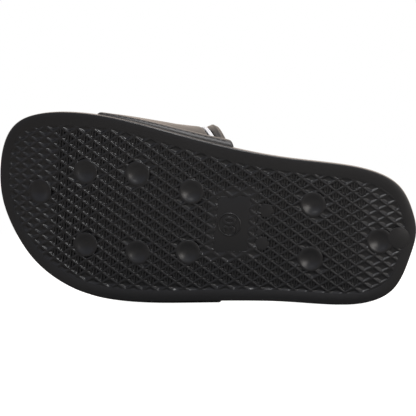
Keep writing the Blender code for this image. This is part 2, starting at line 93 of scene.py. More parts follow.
OutlineRow = namedtuple("OutlineRow", "medial_station medial_across lateral_station lateral_across")
OUTLINE = [
    OutlineRow(0.000, 0.140, 0.000, 0.140),
    OutlineRow(0.008, 0.302, 0.012, -0.030),
    OutlineRow(0.032, 0.406, 0.050, -0.200),
    OutlineRow(0.075, 0.471, 0.105, -0.345),
    OutlineRow(0.165, 0.511, 0.178, -0.448),
    OutlineRow(0.290, 0.500, 0.265, -0.503),
    OutlineRow(0.420, 0.469, 0.400, -0.519),
    OutlineRow(0.560, 0.463, 0.560, -0.548),
    OutlineRow(0.700, 0.475, 0.700, -0.571),
    OutlineRow(0.820, 0.466, 0.820, -0.564),
    OutlineRow(0.900, 0.427, 0.900, -0.524),
    OutlineRow(0.955, 0.334, 0.960, -0.403),
    OutlineRow(0.987, 0.168, 0.990, -0.160),
    OutlineRow(0.999, 0.020, 0.999, 0.020),
]

# Width of the flat rim round the tread, by the share of the sole's length from the toe.
RimRow = namedtuple("RimRow", "station medial lateral")
RIM = [
    RimRow(0.00, 0.0051, 0.0051),
    RimRow(0.10, 0.0061, 0.0054),
    RimRow(0.20, 0.0063, 0.0056),
    RimRow(0.28, 0.0053, 0.0057),
    RimRow(0.45, 0.0057, 0.0056),
    RimRow(0.60, 0.0062, 0.0056),
    RimRow(0.82, 0.0060, 0.0056),
    RimRow(0.94, 0.0054, 0.0052),
    RimRow(1.00, 0.0050, 0.0050),
]


def smooth(value, low, high):
    """Eases from 0 at low to 1 at high."""
    share = min(1.0, max(0.0, (value - low) / (high - low)))
    return share * share * (3.0 - 2.0 * share)


def bump(value, middle, reach):
    """A soft hump, 1 at the middle and 0 beyond its reach."""
    share = min(1.0, abs(value - middle) / reach)
    return (1.0 - share * share) ** 2


def spline(points, closed, steps):
    """Smooth curve through the points, parametrised by chord length, with steps samples per span."""
    knots = np.array(points, float)
    if closed:
        knots = np.vstack([knots, knots[:1]])
    chords = np.sqrt(((knots[1:] - knots[:-1]) ** 2).sum(axis=1)) ** 0.5
    count = len(knots)
    system = np.zeros((count, count))
    right = np.zeros(knots.shape)
    for row in range(1, count - 1):
        before, after = chords[row - 1], chords[row]
        system[row, row - 1 : row + 2] = before, 2 * (before + after), after
        right[row] = 6 * ((knots[row + 1] - knots[row]) / after - (knots[row] - knots[row - 1]) / before)
    if closed:
        system[0, 0], system[0, -1] = 1, -1
        first, last = chords[0], chords[-1]
        system[-1, 0:2] = 2 * first, first
        system[-1, -2:] = last, 2 * last
        right[-1] = 6 * ((knots[1] - knots[0]) / first - (knots[-1] - knots[-2]) / last)
    else:
        system[0, 0] = 1
        system[-1, -1] = 1
    bends = np.linalg.solve(system, right)
    samples = []
    for row in range(count - 1):
        span = chords[row]
        for step in range(steps):
            b = step / steps
            a = 1.0 - b
            curve = (a**3 - a) * bends[row] + (b**3 - b) * bends[row + 1]
            samples.append(a * knots[row] + b * knots[row + 1] + curve * span * span / 6)
    if not closed:
        samples.append(knots[-1])
    return np.array(samples)


def evenly(points, pieces):
    """The same open curve with its length divided into equal pieces."""
    steps = np.sqrt(((points[1:] - points[:-1]) ** 2).sum(axis=1))
    along = np.concatenate([[0.0], np.cumsum(steps)])
    wanted = np.linspace(0.0, along[-1], pieces + 1)
    return np.array([[np.interp(at, along, points[:, axis]) for axis in range(2)] for at in wanted])


def on_plan(station, across):
    """Plan position of a share of the length from the toe and a share of the local width."""
    heel = smooth(station, *NARROWING)
    return SOLE_LENGTH * (0.5 - station), across * (BALL_WIDTH * (1.0 - heel) + HEEL_WIDTH * heel)


def station_of(x):
    return 0.5 - x / SOLE_LENGTH


def sole_edges(pieces):
    """Medial and lateral edges of the sole, each in equal pieces from the toe tip to the heel tip."""
    medial = [on_plan(row.medial_station, row.medial_across) for row in OUTLINE]
    lateral = [on_plan(row.lateral_station, row.lateral_across) for row in OUTLINE]
    curve = spline(medial + lateral[-2:0:-1], True, OUTLINE_STEPS)
    half = OUTLINE_STEPS * (len(OUTLINE) - 1)
    back = np.vstack([curve[half:], curve[:1]])[::-1]
    return evenly(curve[: half + 1], pieces), evenly(back, pieces)


MEDIAL_EDGE, LATERAL_EDGE = sole_edges(SIDE_STEPS)


def inward_normals(ring):
    """Unit normals that point into the ring, which runs clockwise seen from above."""
    run = np.roll(ring, -1, axis=0) - np.roll(ring, 1, axis=0)
    run /= np.sqrt((run**2).sum(axis=1))[:, None]
    return np.column_stack([-run[:, 1], run[:, 0]])


def perimeter(pieces):
    """The outline as one ring of plan points from the toe tip over medial to the heel tip and back."""
    medial, lateral = sole_edges(pieces)
    return np.vstack([medial, lateral[-2:0:-1]])


PERIMETER = perimeter(SIDE_STEPS)
INWARDS = inward_normals(PERIMETER)


def edge_y(side, x):
    """Distance of the sole's edge from the shoe's axis at x, side 1 for medial and -1 for lateral."""
    edge = MEDIAL_EDGE if side > 0 else LATERAL_EDGE
    return float(np.interp(-x, -edge[:, 0], edge[:, 1]))


def ground(x):
    """Height of the tread's own surface: flat at heel and ball, sprung toe, slightly lifted waist."""
    station = station_of(x)
    toe = max(0.0, 1.0 - station / SPRING_END) ** 2 * TOE_SPRING
    heel = max(0.0, (station - HEEL_LIFT_START) / (1.0 - HEEL_LIFT_START)) ** 2 * HEEL_LIFT
    return toe + heel + WAIST_LIFT * bump(station, *WAIST)


def thickness(x):
    station = station_of(x)
    front = TOE_THICKNESS + (BALL_THICKNESS - TOE_THICKNESS) * smooth(station, 0.0, BALL_START)
    return front + (HEEL_THICKNESS - BALL_THICKNESS) * smooth(station, *HEEL_RISE)


def top_edge(x, across):
    """Height of the sole's top land, with the medial arch's extra rise."""
    arch = ARCH_RISE * bump(station_of(x), *ARCH_SPOT) * max(0.0, across) ** 2
    return ground(x) + thickness(x) + arch


def footbed_top(x, across):
    """Height of the footbed: heel cup, dished ball, low ridge under the toes, and the arch."""
    station = station_of(x)
    heel = HEEL_CUP * smooth(station, *HEEL_CUP_RISE)
    ball = BALL_DISH * (1.0 - smooth(station, *BALL_DISH_FALL))
    inside = smooth(station, 0.0, HOLLOW_FADE) * smooth(1.0 - station, 0.0, HOLLOW_FADE)
    hollow = (heel + ball) * inside * (1.0 - across * across)
    ridge = TOE_RIDGE * bump(station, *TOE_RIDGE_SPOT) * (1.0 - across**4)
    return top_edge(x, across) + FOOTBED_PROUD - hollow + ridge


def wall_inset(x, share):
    """How far the side wall over the lip lies inside the outline, at a share of the wall's height."""
    return LIP_STEP + (thickness(x) - LIP_HEIGHT) * tan(WALL_DRAFT) * share


def rim_width(x, side):
    """Width of the flat rim at x, on the medial side for 1 and the lateral side for -1."""
    stations = [row.station for row in RIM]
    widths = [row.medial if side > 0 else row.lateral for row in RIM]
    return float(np.interp(station_of(x), stations, widths))


def linear(code):
    """Linear colour of an sRGB hex code."""
    parts = [int(code[at : at + 2], 16) / 255 for at in (1, 3, 5)]
    return tuple(part / 12.92 if part <= 0.04045 else ((part + 0.055) / 1.055) ** 2.4 for part in parts)


def add_node(tree, kind, settings=None, inputs=None):
    """Adds a shader node with its attributes, and its inputs as values or as other nodes' outputs."""
    node = tree.nodes.new(kind)
    for name, value in (settings or {}).items():
        setattr(node, name, value)
    for name, value in (inputs or {}).items():
        if isinstance(value, bpy.types.NodeSocket):
            tree.links.new(value, node.inputs[name])
        else:
            node.inputs[name].default_value = value
    return node


# Sockets of a Mix node in colour mode: the colour at factor 0, the one at factor 1, and the result.
MIX_NONE = 6
MIX_FULL = 7
MIX_RESULT = 2


def new_material(name):
    """An empty material with its shader, and the tree they are in."""
    made = bpy.data.materials.new(name)
    made.use_nodes = True
    return made, made.node_tree, made.node_tree.nodes["Principled BSDF"]


# Marks to the metre: the flow of the foam is mottled every 17 mm. The mould is blasted to a grain of 0.4 mm,
# drawn at 0.56 mm so that it shows.
SKIN_FLOW = 60.0
SKIN_GRAIN = 1800.0
SKIN_GRAIN_DEPTH = 0.00004


def moulded_polyurethane(name, dark, light, gloss):
    """Self-skinned polyurethane foam, pressed in a bead-blasted mould: black, satin, faintly mottled by the
    flow of the foam, with a fine dull grain."""
    made, tree, shader = new_material(name)
    place = add_node(tree, "ShaderNodeTexCoord").outputs["Object"]
    flow = add_node(tree, "ShaderNodeTexNoise", None, {"Vector": place, "Scale": SKIN_FLOW, "Detail": 4.0})
    shade = add_node(tree, "ShaderNodeMix", {"data_type": "RGBA"}, {"Factor": flow.outputs["Fac"]})
    shade.inputs[MIX_NONE].default_value = (*linear(dark), 1.0)
    shade.inputs[MIX_FULL].default_value = (*linear(light), 1.0)
    tree.links.new(shade.outputs[MIX_RESULT], shader.inputs["Base Color"])
    grain = add_node(tree, "ShaderNodeTexNoise", None, {"Vector": place, "Scale": SKIN_GRAIN, "Detail": 2.0})
    dull = add_node(tree, "ShaderNodeMapRange", None, {"Value": grain.outputs["Fac"]})
    dull.inputs["To Min"].default_value = gloss - 0.05
    dull.inputs["To Max"].default_value = gloss + 0.08
    tree.links.new(dull.outputs["Result"], shader.inputs["Roughness"])
    relief = add_node(tree, "ShaderNodeBump", None, {"Height": grain.outputs["Fac"], "Strength": 0.5})
    relief.inputs["Distance"].default_value = SKIN_GRAIN_DEPTH
    tree.links.new(relief.outputs["Normal"], shader.inputs["Normal"])
    shader.inputs["Specular IOR Level"].default_value = 0.5
    return made


SOLE_SKIN = moulded_polyurethane("black_moulded_polyurethane", "#0f0f10", "#141415", 0.32)

# The shoe's own axes are toe along +X, medial side along +Y, up along +Z and the tread on z = 0. The packed
# part lies on its lateral side, and one of its tread faces tells where these axes lie.
HEEL_SPOT_STATION = 0.86
HEEL_SPOT_INSET = 0.0042


def lying_pose():
    """Matrix from the shoe's own axes to the lying part."""
    mounts = {mount["name"]: mount for mount in frame["record"]["mounts"]}
    up = -Vector(mounts["heel_tread"]["axis"])
    toe = Vector((-up.z, 0.0, up.x)).normalized()
    medial = up.cross(toe)
    turn = Matrix((toe, medial, up)).transposed()
    x = SOLE_LENGTH * (0.5 - HEEL_SPOT_STATION)
    spot = Vector((x, edge_y(1, x) - HEEL_SPOT_INSET, ground(x)))
    shift = Vector(mounts["heel_tread"]["pos_m"]) - turn @ spot
    return Matrix.Translation(shift) @ turn.to_4x4()


LYING = lying_pose()


def add_piece(name, shape, finishes, stands_for=None, sharp=40.0):
    """Lays a finished bmesh down with the shoe and hands it over as a piece that rides on the part."""
    bmesh.ops.transform(shape, matrix=LYING, verts=shape.verts)
    mesh = bpy.data.meshes.new(name)
    shape.to_mesh(mesh)
    shape.free()
    mesh.shade_smooth()
    mesh.set_sharp_from_angle(angle=radians(sharp))
    for finish in finishes:
        mesh.materials.append(finish)
    piece = bpy.data.objects.new(name, mesh)
    bpy.context.scene.collection.objects.link(piece)
    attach(piece, "root")
    if stands_for:
        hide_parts(stands_for)
    return piece


def add_ring(shape, points):
    """A closed ring of edges through 3-D points."""
    verts = [shape.verts.new(point) for point in points]
    edges = [shape.edges.new((vert, verts[(at + 1) % len(verts)])) for at, vert in enumerate(verts)]
    return verts, edges


def outline_ring(shape, inset, height):
    """Ring of the outline moved inwards, with a height worked out for each of its points."""
    points = []
    for at, (x, y) in enumerate(PERIMETER):
        side = 1.0 if at < SIDE_STEPS else -1.0
        depth = inset(x, side)
        inner_x = x + INWARDS[at][0] * depth
        points.append((inner_x, y + INWARDS[at][1] * depth, height(inner_x, side)))
    return add_ring(shape, points)


def close_over(shape, ring, height):
    """Closes a ring of the outline by rungs from medial to lateral, at the given heights."""
    steps = len(ring) // 2
    rungs = [[ring[0]]]
    for at in range(1, steps):
        medial, lateral = ring[at], ring[-at]
        rung = [medial]
        for cross in range(1, CROSS_STEPS):
            share = cross / CROSS_STEPS
            plan = medial.co.lerp(lateral.co, share)
            rung.append(shape.verts.new((plan.x, plan.y, height(plan.x, 1.0 - 2.0 * share))))
        rungs.append(rung + [lateral])
    rungs.append([ring[steps]])
    for one, two in zip(rungs, rungs[1:]):
        if len(one) == 1 or len(two) == 1:
            tip, rung = (one[0], two) if len(one) == 1 else (two[0], one)
            for a, b in zip(rung, rung[1:]):
                shape.faces.new((tip, a, b))
            continue
        for at in range(CROSS_STEPS):
            shape.faces.new((one[at], one[at + 1], two[at + 1], two[at]))


def recess_floor(x, across):
    """Height of the top recess's floor, a hair under the footbed."""
    return footbed_top(x, across) - FOOTBED_THICKNESS - CLEARANCE


def outsole_rings():
    """Inset and height of each ring, from the tread's recess out, up the wall and into the top recess."""

    def low(inset, rise):
        return lambda x, side: inset, lambda x, side: ground(x) + rise

    def rim(inset, rise):
        return lambda x, side: rim_width(x, side) + inset, lambda x, side: ground(x) + rise

    def high(inset, drop):
        return lambda x, side: wall_inset(x, 1.0) + inset, lambda x, side: top_edge(x, side) - drop

    def wall(share):
        def height(x, side):
            foot = ground(x) + LIP_HEIGHT
            return foot + (top_edge(x, side) - EDGE_ROUND - foot) * share

        return lambda x, side: wall_inset(x, share), height

    rings = [rim(0.0, FIELD_DEPTH), rim(0.0, SOFT_EDGE)]
    rings += [rim(-SOFT_EDGE * 0.3, SOFT_EDGE * 0.3), rim(-SOFT_EDGE, 0.0)]
    rings += [low(TREAD_EDGE_ROUND * (1 - sin(at)), TREAD_EDGE_ROUND * (1 - cos(at))) for at in QUARTER]
    top = LIP_HEIGHT - EDGE_ROUND / 2
    rings += [low(EDGE_ROUND / 2 * (1 - cos(at)), top + EDGE_ROUND / 2 * sin(at)) for at in QUARTER]
    rings += [low(LIP_STEP - SOFT_EDGE, LIP_HEIGHT), low(LIP_STEP, LIP_HEIGHT + SOFT_EDGE)]
    rings += [wall(share) for share in WALL_SHARES]
    rings += [high(EDGE_ROUND * (1 - cos(at)), EDGE_ROUND * (1 - sin(at))) for at in QUARTER]
    rings += [high(LAND_WIDTH, 0.0), (high(LAND_WIDTH, 0.0)[0], recess_floor)]
    return rings


def make_outsole():
    shape = bmesh.new()
    rings = [outline_ring(shape, inset, height) for inset, height in outsole_rings()]
    for (_, one), (_, two) in zip(rings, rings[1:]):
        bmesh.ops.bridge_loops(shape, edges=one + two)
    close_over(shape, rings[0][0], lambda x, across: ground(x) + FIELD_DEPTH)
    close_over(shape, rings[-1][0], recess_floor)
    bmesh.ops.recalc_face_normals(shape, faces=shape.faces)
    add_piece("outsole", shape, [SOLE_SKIN], stands_for="sole")


make_outsole()

# Side wall ribs: fine upright ribs round the whole side wall, of the same black polyurethane. They are
# moulded in one with the outsole, between its lip and the rounded top edge.
SIDE_RIB_PITCH = 0.0015
SIDE_RIB_PROUD = 0.00025
SIDE_RIB_SUNK = 0.00025
SIDE_RIB_MARGIN = 0.0007
SIDE_RIB_ROOT = 0.0008
SIDE_RIB_PROFILE = (SIDE_RIB_PROUD, SIDE_RIB_PROUD, -SIDE_RIB_SUNK, -SIDE_RIB_SUNK)


def make_side_ribs():
    """The upright ribs as one band, whose valleys lie behind the outsole's own wall."""
    length = np.sqrt(((PERIMETER - np.roll(PERIMETER, 1, axis=0)) ** 2).sum(axis=1)).sum()
    pieces = 2 * len(SIDE_RIB_PROFILE) * round(length / SIDE_RIB_PITCH / 4)
    plan = perimeter(pieces)
    normals = inward_normals(plan)
    shape = bmesh.new()
    rings = []
    for share, root in ((0.0, 1.0), (0.0, 0.0), (1.0, 0.0), (1.0, 1.0)):
        points = []
        for at, (x, y) in enumerate(plan):
            side = 1.0 if at < pieces else -1.0
            inset = wall_inset(x, share) - SIDE_RIB_PROFILE[at % len(SIDE_RIB_PROFILE)]
            if root:
                inset = wall_inset(x, share) + SIDE_RIB_ROOT
            foot = ground(x) + LIP_HEIGHT + SIDE_RIB_MARGIN
            top = top_edge(x, side) - EDGE_ROUND - SIDE_RIB_MARGIN
            z = foot + (top - foot) * share
            points.append((x + normals[at][0] * inset, y + normals[at][1] * inset, z))
        rings.append(add_ring(shape, points))
    for (_, one), (_, two) in zip(rings, rings[1:] + rings[:1]):
        bmesh.ops.bridge_loops(shape, edges=one + two)
    bmesh.ops.recalc_face_normals(shape, faces=shape.faces)
    add_piece("side_wall_ribs", shape, [SOLE_SKIN], sharp=50.0)


make_side_ribs()

# Tread field: a lattice of crossing ribs over lozenge pits, moulded in one with the outsole and a hair below
# its rim. The pits run out against the rim in scallops, are shallow round the plaque, and turn to low pillows
# towards the heel's end.
LOZENGE_LONG = 0.00812
LOZENGE_ACROSS = 0.00534
ROW_SLOPE = -0.0345
LATTICE_START = (-0.0472, -0.0043)
PIT_DEPTH = 0.0012
PIT_SHALLOW = 0.42
RIB_HALF = 0.075
CHAMFER_END = 0.11
CHAMFER_DEPTH = 0.00010
WALL_END = 0.31
WALL_SHARE = 0.85
FLOOR_END = 0.46
FLOOR_SHARE = 0.15
CORNER_POWER = 8.0
RIM_WALL_SLOPE = 1.3
RIM_BLEND = 0.0003
FIELD_SUNK = 0.00012
FIELD_OVERLAP = 0.0012
PLAQUE_CORNERS = [
    on_plan(0.536, 0.134),
    on_plan(0.619, 0.187),
    on_plan(0.620, -0.224),
    on_plan(0.532, -0.229),
]
PLAQUE_CALM = 0.0060
CALM_DEPTH = 0.28
PILLOW_START = 0.80
PILLOW_END = 0.90
PILLOW_WALL = 0.25
PILLOW_RISE = 0.55
CELL_LINES = (0.0, 0.075, 0.11, 0.15, 0.21, 0.31, 0.50, 0.69, 0.79, 0.85, 0.89, 0.925)
CELLS = 46
FIRST_CELL = (-30, -29)
CUP_RADIUS = 0.0060
CUPS = [
    on_plan(0.109, 0.054),
    on_plan(0.221, 0.192),
    on_plan(0.231, -0.216),
    on_plan(0.346, 0.208),
    on_plan(0.358, -0.234),
    on_plan(0.476, 0.144),
    on_plan(0.477, -0.225),
    on_plan(0.760, 0.161),
    on_plan(0.764, -0.241),
    on_plan(0.918, -0.063),
]
PADS = [on_plan(0.654, 0.083), on_plan(0.650, -0.150)]
PAD_RADIUS = 0.0036
SMALL_PADS = [on_plan(0.641, -0.004), on_plan(0.639, -0.075)]
SMALL_PAD_RADIUS = 0.0016
HEEL_DISC = on_plan(0.961, -0.026)
DISC_RADIUS = 0.0050
CLEARING = 0.0011
CLEARED_DEPTH = 0.0029


def lattice_point(s, t):
    """Plan position of a place in the lattice, whose ribs cross at whole numbers of s and t."""
    along = s + t
    x = LATTICE_START[0] - along * LOZENGE_LONG / 2
    y = LATTICE_START[1] - along * ROW_SLOPE * LOZENGE_LONG / 2 - (s - t) * LOZENGE_ACROSS / 2
    return x, y


def rim_edge():
    """The rim's inner edge as a closed polygon."""
    points = []
    for at, (x, y) in enumerate(PERIMETER):
        width = rim_width(x, 1.0 if at < SIDE_STEPS else -1.0)
        points.append((x + INWARDS[at][0] * width, y + INWARDS[at][1] * width))
    return np.array(points)


def inside_distance(polygon, places):
    """How far each place lies inside a closed polygon, negative outside."""
    places = np.array(places)
    after = np.roll(polygon, -1, axis=0)
    nearest = np.full(len(places), np.inf)
    crossings = np.zeros(len(places), int)
    for start, end in zip(polygon, after):
        run = end - start
        away = places - start
        share = np.clip((away @ run) / (run @ run), 0.0, 1.0)
        nearest = np.minimum(nearest, np.hypot(*(away - share[:, None] * run).T))
        level = (start[1] > places[:, 1]) != (end[1] > places[:, 1])
        rise = run[1] if run[1] else 1e-12
        crossings += level & (places[:, 0] < start[0] + run[0] * (places[:, 1] - start[1]) / rise)
    return np.where(crossings % 2 == 1, nearest, -nearest)


RIM_EDGE = rim_edge()


def eased(values):
    """Eases each value from 0 to 1."""
    share = np.clip(values, 0.0, 1.0)
    return share * share * (3.0 - 2.0 * share)


def calm(places):
    """How much of its full depth the lattice has at each place: little round the plaque."""
    gap = -inside_distance(np.array(PLAQUE_CORNERS), places)
    return CALM_DEPTH + (1.0 - CALM_DEPTH) * eased(gap / PLAQUE_CALM)


def pit_depth(fraction, lateral, stations):
    """Depth by the distance to the nearest ribs, in pitches: a narrow chamfer along each rib, a steep wall
    and a floor that is deepest at its lateral end."""
    apart = np.maximum(fraction, 1e-4)
    nearest = (apart**-CORNER_POWER).sum(axis=1) ** (-1.0 / CORNER_POWER)
    chamfer = CHAMFER_DEPTH * np.clip((nearest - RIB_HALF) / (CHAMFER_END - RIB_HALF), 0.0, 1.0)
    wall = np.sin(pi / 2 * np.clip((nearest - CHAMFER_END) / (WALL_END - CHAMFER_END), 0.0, 1.0))
    floor = np.clip((nearest - WALL_END) / (FLOOR_END - WALL_END), 0.0, 1.0)
    pillow = eased((stations - PILLOW_START) / (PILLOW_END - PILLOW_START))
    lean = PIT_SHALLOW + (1.0 - PIT_SHALLOW) * eased(lateral)
    sides = WALL_SHARE * wall * (1.0 - PILLOW_WALL * pillow)
    return chamfer + PIT_DEPTH * lean * (sides + floor * (FLOOR_SHARE - PILLOW_RISE * pillow))


def bend(shape):
    """Lifts a form that was made over a flat tread to the tread's own curve."""
    for vert in shape.verts:
        vert.co.z += ground(vert.co.x)


def make_tread():
    lines = len(CELL_LINES)
    count = CELLS * lines
    shape = bmesh.new()
    bmesh.ops.create_grid(shape, x_segments=count, y_segments=count, size=0.5)
    steps = np.round((np.array([vert.co[:2] for vert in shape.verts]) + 0.5) * count).astype(int)
    cells = np.array(FIRST_CELL) + steps // lines + np.array(CELL_LINES)[steps % lines]
    plan = np.column_stack(lattice_point(cells[:, 0], cells[:, 1]))
    inside = inside_distance(RIM_EDGE, plan)
    fraction = np.abs(cells - np.round(cells))
    place = cells - np.floor(cells)
    lateral = (place[:, 0] - place[:, 1] + 1.0) / 2
    depth = pit_depth(fraction, lateral, 0.5 - plan[:, 0] / SOLE_LENGTH) * calm(plan)
    slope = np.clip(inside, 0.0, None) * RIM_WALL_SLOPE
    depth = (depth + slope - np.sqrt((depth - slope) ** 2 + RIM_BLEND**2)) / 2
    depth = np.clip(depth, 0.0, None)
    bosses = [(centre, CUP_RADIUS) for centre in CUPS]
    bosses += [(centre, PAD_RADIUS) for centre in PADS]
    bosses += [(centre, SMALL_PAD_RADIUS) for centre in SMALL_PADS]
    bosses.append((HEEL_DISC, DISC_RADIUS))
    covered = inside_distance(np.array(PLAQUE_CORNERS), plan) > CLEARING
    for centre, radius in bosses:
        covered |= np.hypot(*(plan - centre).T) < radius - CLEARING
    depth = np.where(covered, CLEARED_DEPTH, depth)
    spare = []
    for vert, (x, y), deep, gap in zip(shape.verts, plan, depth, inside):
        vert.co = (x, y, FIELD_SUNK + deep)
        if gap < -FIELD_OVERLAP:
            spare.append(vert)
    bmesh.ops.delete(shape, geom=spare, context="VERTS")
    loose = [vert for vert in shape.verts if not vert.link_faces]
    bmesh.ops.delete(shape, geom=loose, context="VERTS")
    border = [edge for edge in shape.edges if edge.is_boundary]
    grown = bmesh.ops.extrude_edge_only(shape, edges=border)["geom"]
    for item in grown:
        if isinstance(item, bmesh.types.BMVert):
            item.co.z = FIELD_DEPTH - CLEARANCE / 2
    back = [item for item in grown if isinstance(item, bmesh.types.BMEdge)]
    bmesh.ops.triangle_fill(shape, edges=back, use_beauty=False)
    bend(shape)
    bmesh.ops.recalc_face_normals(shape, faces=shape.faces)
    add_piece("tread_lattice", shape, [SOLE_SKIN], sharp=80.0)


make_tread()

# Grip bars: three short upright bars in each pit of the middle of the tread, moulded with it. The middle one
# is the longest, and all stop a little below the ribs.
BAR_PITCH = 0.00130
BAR_WIDTH = 0.00066
BAR_TOP = 0.00018
BAR_ROOT = 0.0026
BAR_LENGTHS = (0.0022, 0.0036, 0.0022)
BAR_BEVEL = 0.00016
BAR_STATIONS = (0.155, 0.875)
BAR_RIM_GAP = 0.0027
BAR_CUP_GAP = 0.0074
BAR_PLAQUE_GAP = 0.0024


def bar_template():
    """One bar of unit length, with its front edges rounded."""
    shape = bmesh.new()
    bmesh.ops.create_cube(shape, size=1.0)
    bmesh.ops.scale(shape, vec=(BAR_WIDTH, 1.0, BAR_ROOT - BAR_TOP), verts=shape.verts)
    front = [edge for edge in shape.edges if all(vert.co.z < 0 for vert in edge.verts)]
    long = [edge for edge in front if abs(edge.verts[0].co.y - edge.verts[1].co.y) > 0.5]
    bmesh.ops.bevel(
        shape, geom=long, offset=BAR_BEVEL, segments=2, profile=0.5, affect="EDGES", material=-1
    )
    mesh = bpy.data.meshes.new("bar_template")
    shape.to_mesh(mesh)
    shape.free()
    return mesh


def stamp(shape, template, place):
    """Adds a copy of a template mesh, placed by a matrix."""
    copy = template.copy()
    copy.transform(place)
    shape.from_mesh(copy)
    bpy.data.meshes.remove(copy)


def make_bars():
    rows, columns = [range(first, first + CELLS) for first in FIRST_CELL]
    centres = [(s + 0.5, t + 0.5) for s in rows for t in columns]
    places = np.array([lattice_point(s, t) for s, t in centres])
    inside = inside_distance(RIM_EDGE, places)
    outside_plaque = -inside_distance(np.array(PLAQUE_CORNERS), places)
    template = bar_template()
    shape = bmesh.new()
    for (x, y), gap, off in zip(places, inside, outside_plaque):
        station = station_of(x)
        clear = min(np.hypot(x - cup[0], y - cup[1]) for cup in CUPS)
        if gap < BAR_RIM_GAP or off < BAR_PLAQUE_GAP or clear < BAR_CUP_GAP:
            continue
        if not BAR_STATIONS[0] < station < BAR_STATIONS[1]:
            continue
        for step, length in zip((-1, 0, 1), BAR_LENGTHS):
            centre = Vector((x + step * BAR_PITCH, y, (BAR_TOP + BAR_ROOT) / 2))
            stamp(shape, template, Matrix.Translation(centre) @ Matrix.Scale(length, 4, (0, 1, 0)))
    bpy.data.meshes.remove(template)
    bend(shape)
    bmesh.ops.recalc_face_normals(shape, faces=shape.faces)
    add_piece("tread_bars", shape, [SOLE_SKIN], sharp=50.0)


make_bars()

# Suction cups, heel disc and pads: low bosses moulded in one with the tread. The cups are round lands with a
# polished dish, the disc and the pads are flat.
DISH_RADIUS = 0.0046
DISH_DEPTH = 0.0012
DISH_STEPS = 12
# Distance out from the dish and depth where it turns over to the flat land.
CUP_LIP = ((0.0, 0.00012), (0.0002, 0.00002), (0.0005, 0.0))
BOSS_EDGE = 0.0003
BOSS_SIDES = 64
PAD_SIDES = 6
SMALL_PAD_SIDES = 4
PAD_SHARP = 40.0
DISC_PROUD = 0.00015
BOSS_BACK = FIELD_DEPTH - CLEARANCE / 2


def turned_boss(name, profile, sides, centre, sharp=60.0):
    """Spins a profile of (radius, depth) points round an upright axis into a closed boss of the tread."""
    shape = bmesh.new()
    verts = [shape.verts.new((out, 0.0, z)) for out, z in profile]
    edges = [shape.edges.new(pair) for pair in zip(verts, verts[1:])]
    turn = {"axis": (0, 0, 1), "cent": (0, 0, 0), "angle": 2 * pi, "steps": sides, "use_merge": True}
    bmesh.ops.spin(shape, geom=verts + edges, **turn)
    bmesh.ops.remove_doubles(shape, verts=shape.verts, dist=1e-7)
    bmesh.ops.translate(shape, vec=(*centre, 0.0), verts=shape.verts)
    bend(shape)
    bmesh.ops.recalc_face_normals(shape, faces=shape.faces)
    add_piece(name, shape, [SOLE_SKIN], sharp=sharp)


def cup_profile():
    """Section of a suction cup from the middle of its dish over its land to its back."""
    shares = [step / DISH_STEPS for step in range(DISH_STEPS)]
    dish = [(DISH_RADIUS * share, DISH_DEPTH * (1 - share**2)) for share in shares]
    lip = [(DISH_RADIUS + out, depth) for out, depth in CUP_LIP]
    edge = [(CUP_RADIUS - BOSS_EDGE * (1 - sin(at)), BOSS_EDGE * (1 - cos(at))) for at in QUARTER]
    return dish + lip + edge + [(CUP_RADIUS, BOSS_BACK), (0.0, BOSS_BACK)]


def flat_profile(radius, level):
    """Section of a flat boss with a rounded edge."""
    edge = BOSS_EDGE / 2
    rounded = [(radius - edge * (1 - sin(at)), level + edge * (1 - cos(at))) for at in QUARTER]
    return [(0.0, level)] + rounded + [(radius, BOSS_BACK), (0.0, BOSS_BACK)]


for number, centre in enumerate(CUPS, 1):
    turned_boss(f"suction_cup_{number}", cup_profile(), BOSS_SIDES, centre)
turned_boss("heel_disc", flat_profile(DISC_RADIUS, -DISC_PROUD), BOSS_SIDES, HEEL_DISC)
for number, centre in enumerate(PADS, 1):
    turned_boss(f"tread_pad_{number}", flat_profile(PAD_RADIUS, FIELD_SUNK), PAD_SIDES, centre, PAD_SHARP)
for number, centre in enumerate(SMALL_PADS, 1):
    small = flat_profile(SMALL_PAD_RADIUS, FIELD_SUNK)
    turned_boss(f"small_tread_pad_{number}", small, SMALL_PAD_SIDES, centre, PAD_SHARP)

# Size plaque: a smooth four-cornered field in the waist of the tread, with the plain size number in a raised
# ring. It is moulded in one with the tread.
PLAQUE_SUNK = 0.00030
PLAQUE_EDGE = 0.0004
PLAQUE_CORNER = 0.0015
PLAQUE_SLICES = 16
SIZE_NUMBER = "30"
NUMBER_CENTRE = (-0.0143, -0.0027)
NUMBER_HEIGHT = 0.0064
NUMBER_WIDTH = 0.0076
NUMBER_RAISED = 0.00065
NUMBER_SOFT = 0.00018
RING_RADIUS = 0.0053
RING_TUBE = 0.00042
RING_SINK = 0.00005
RING_SECTION_SIDES = 12
RING_SIDES = 72


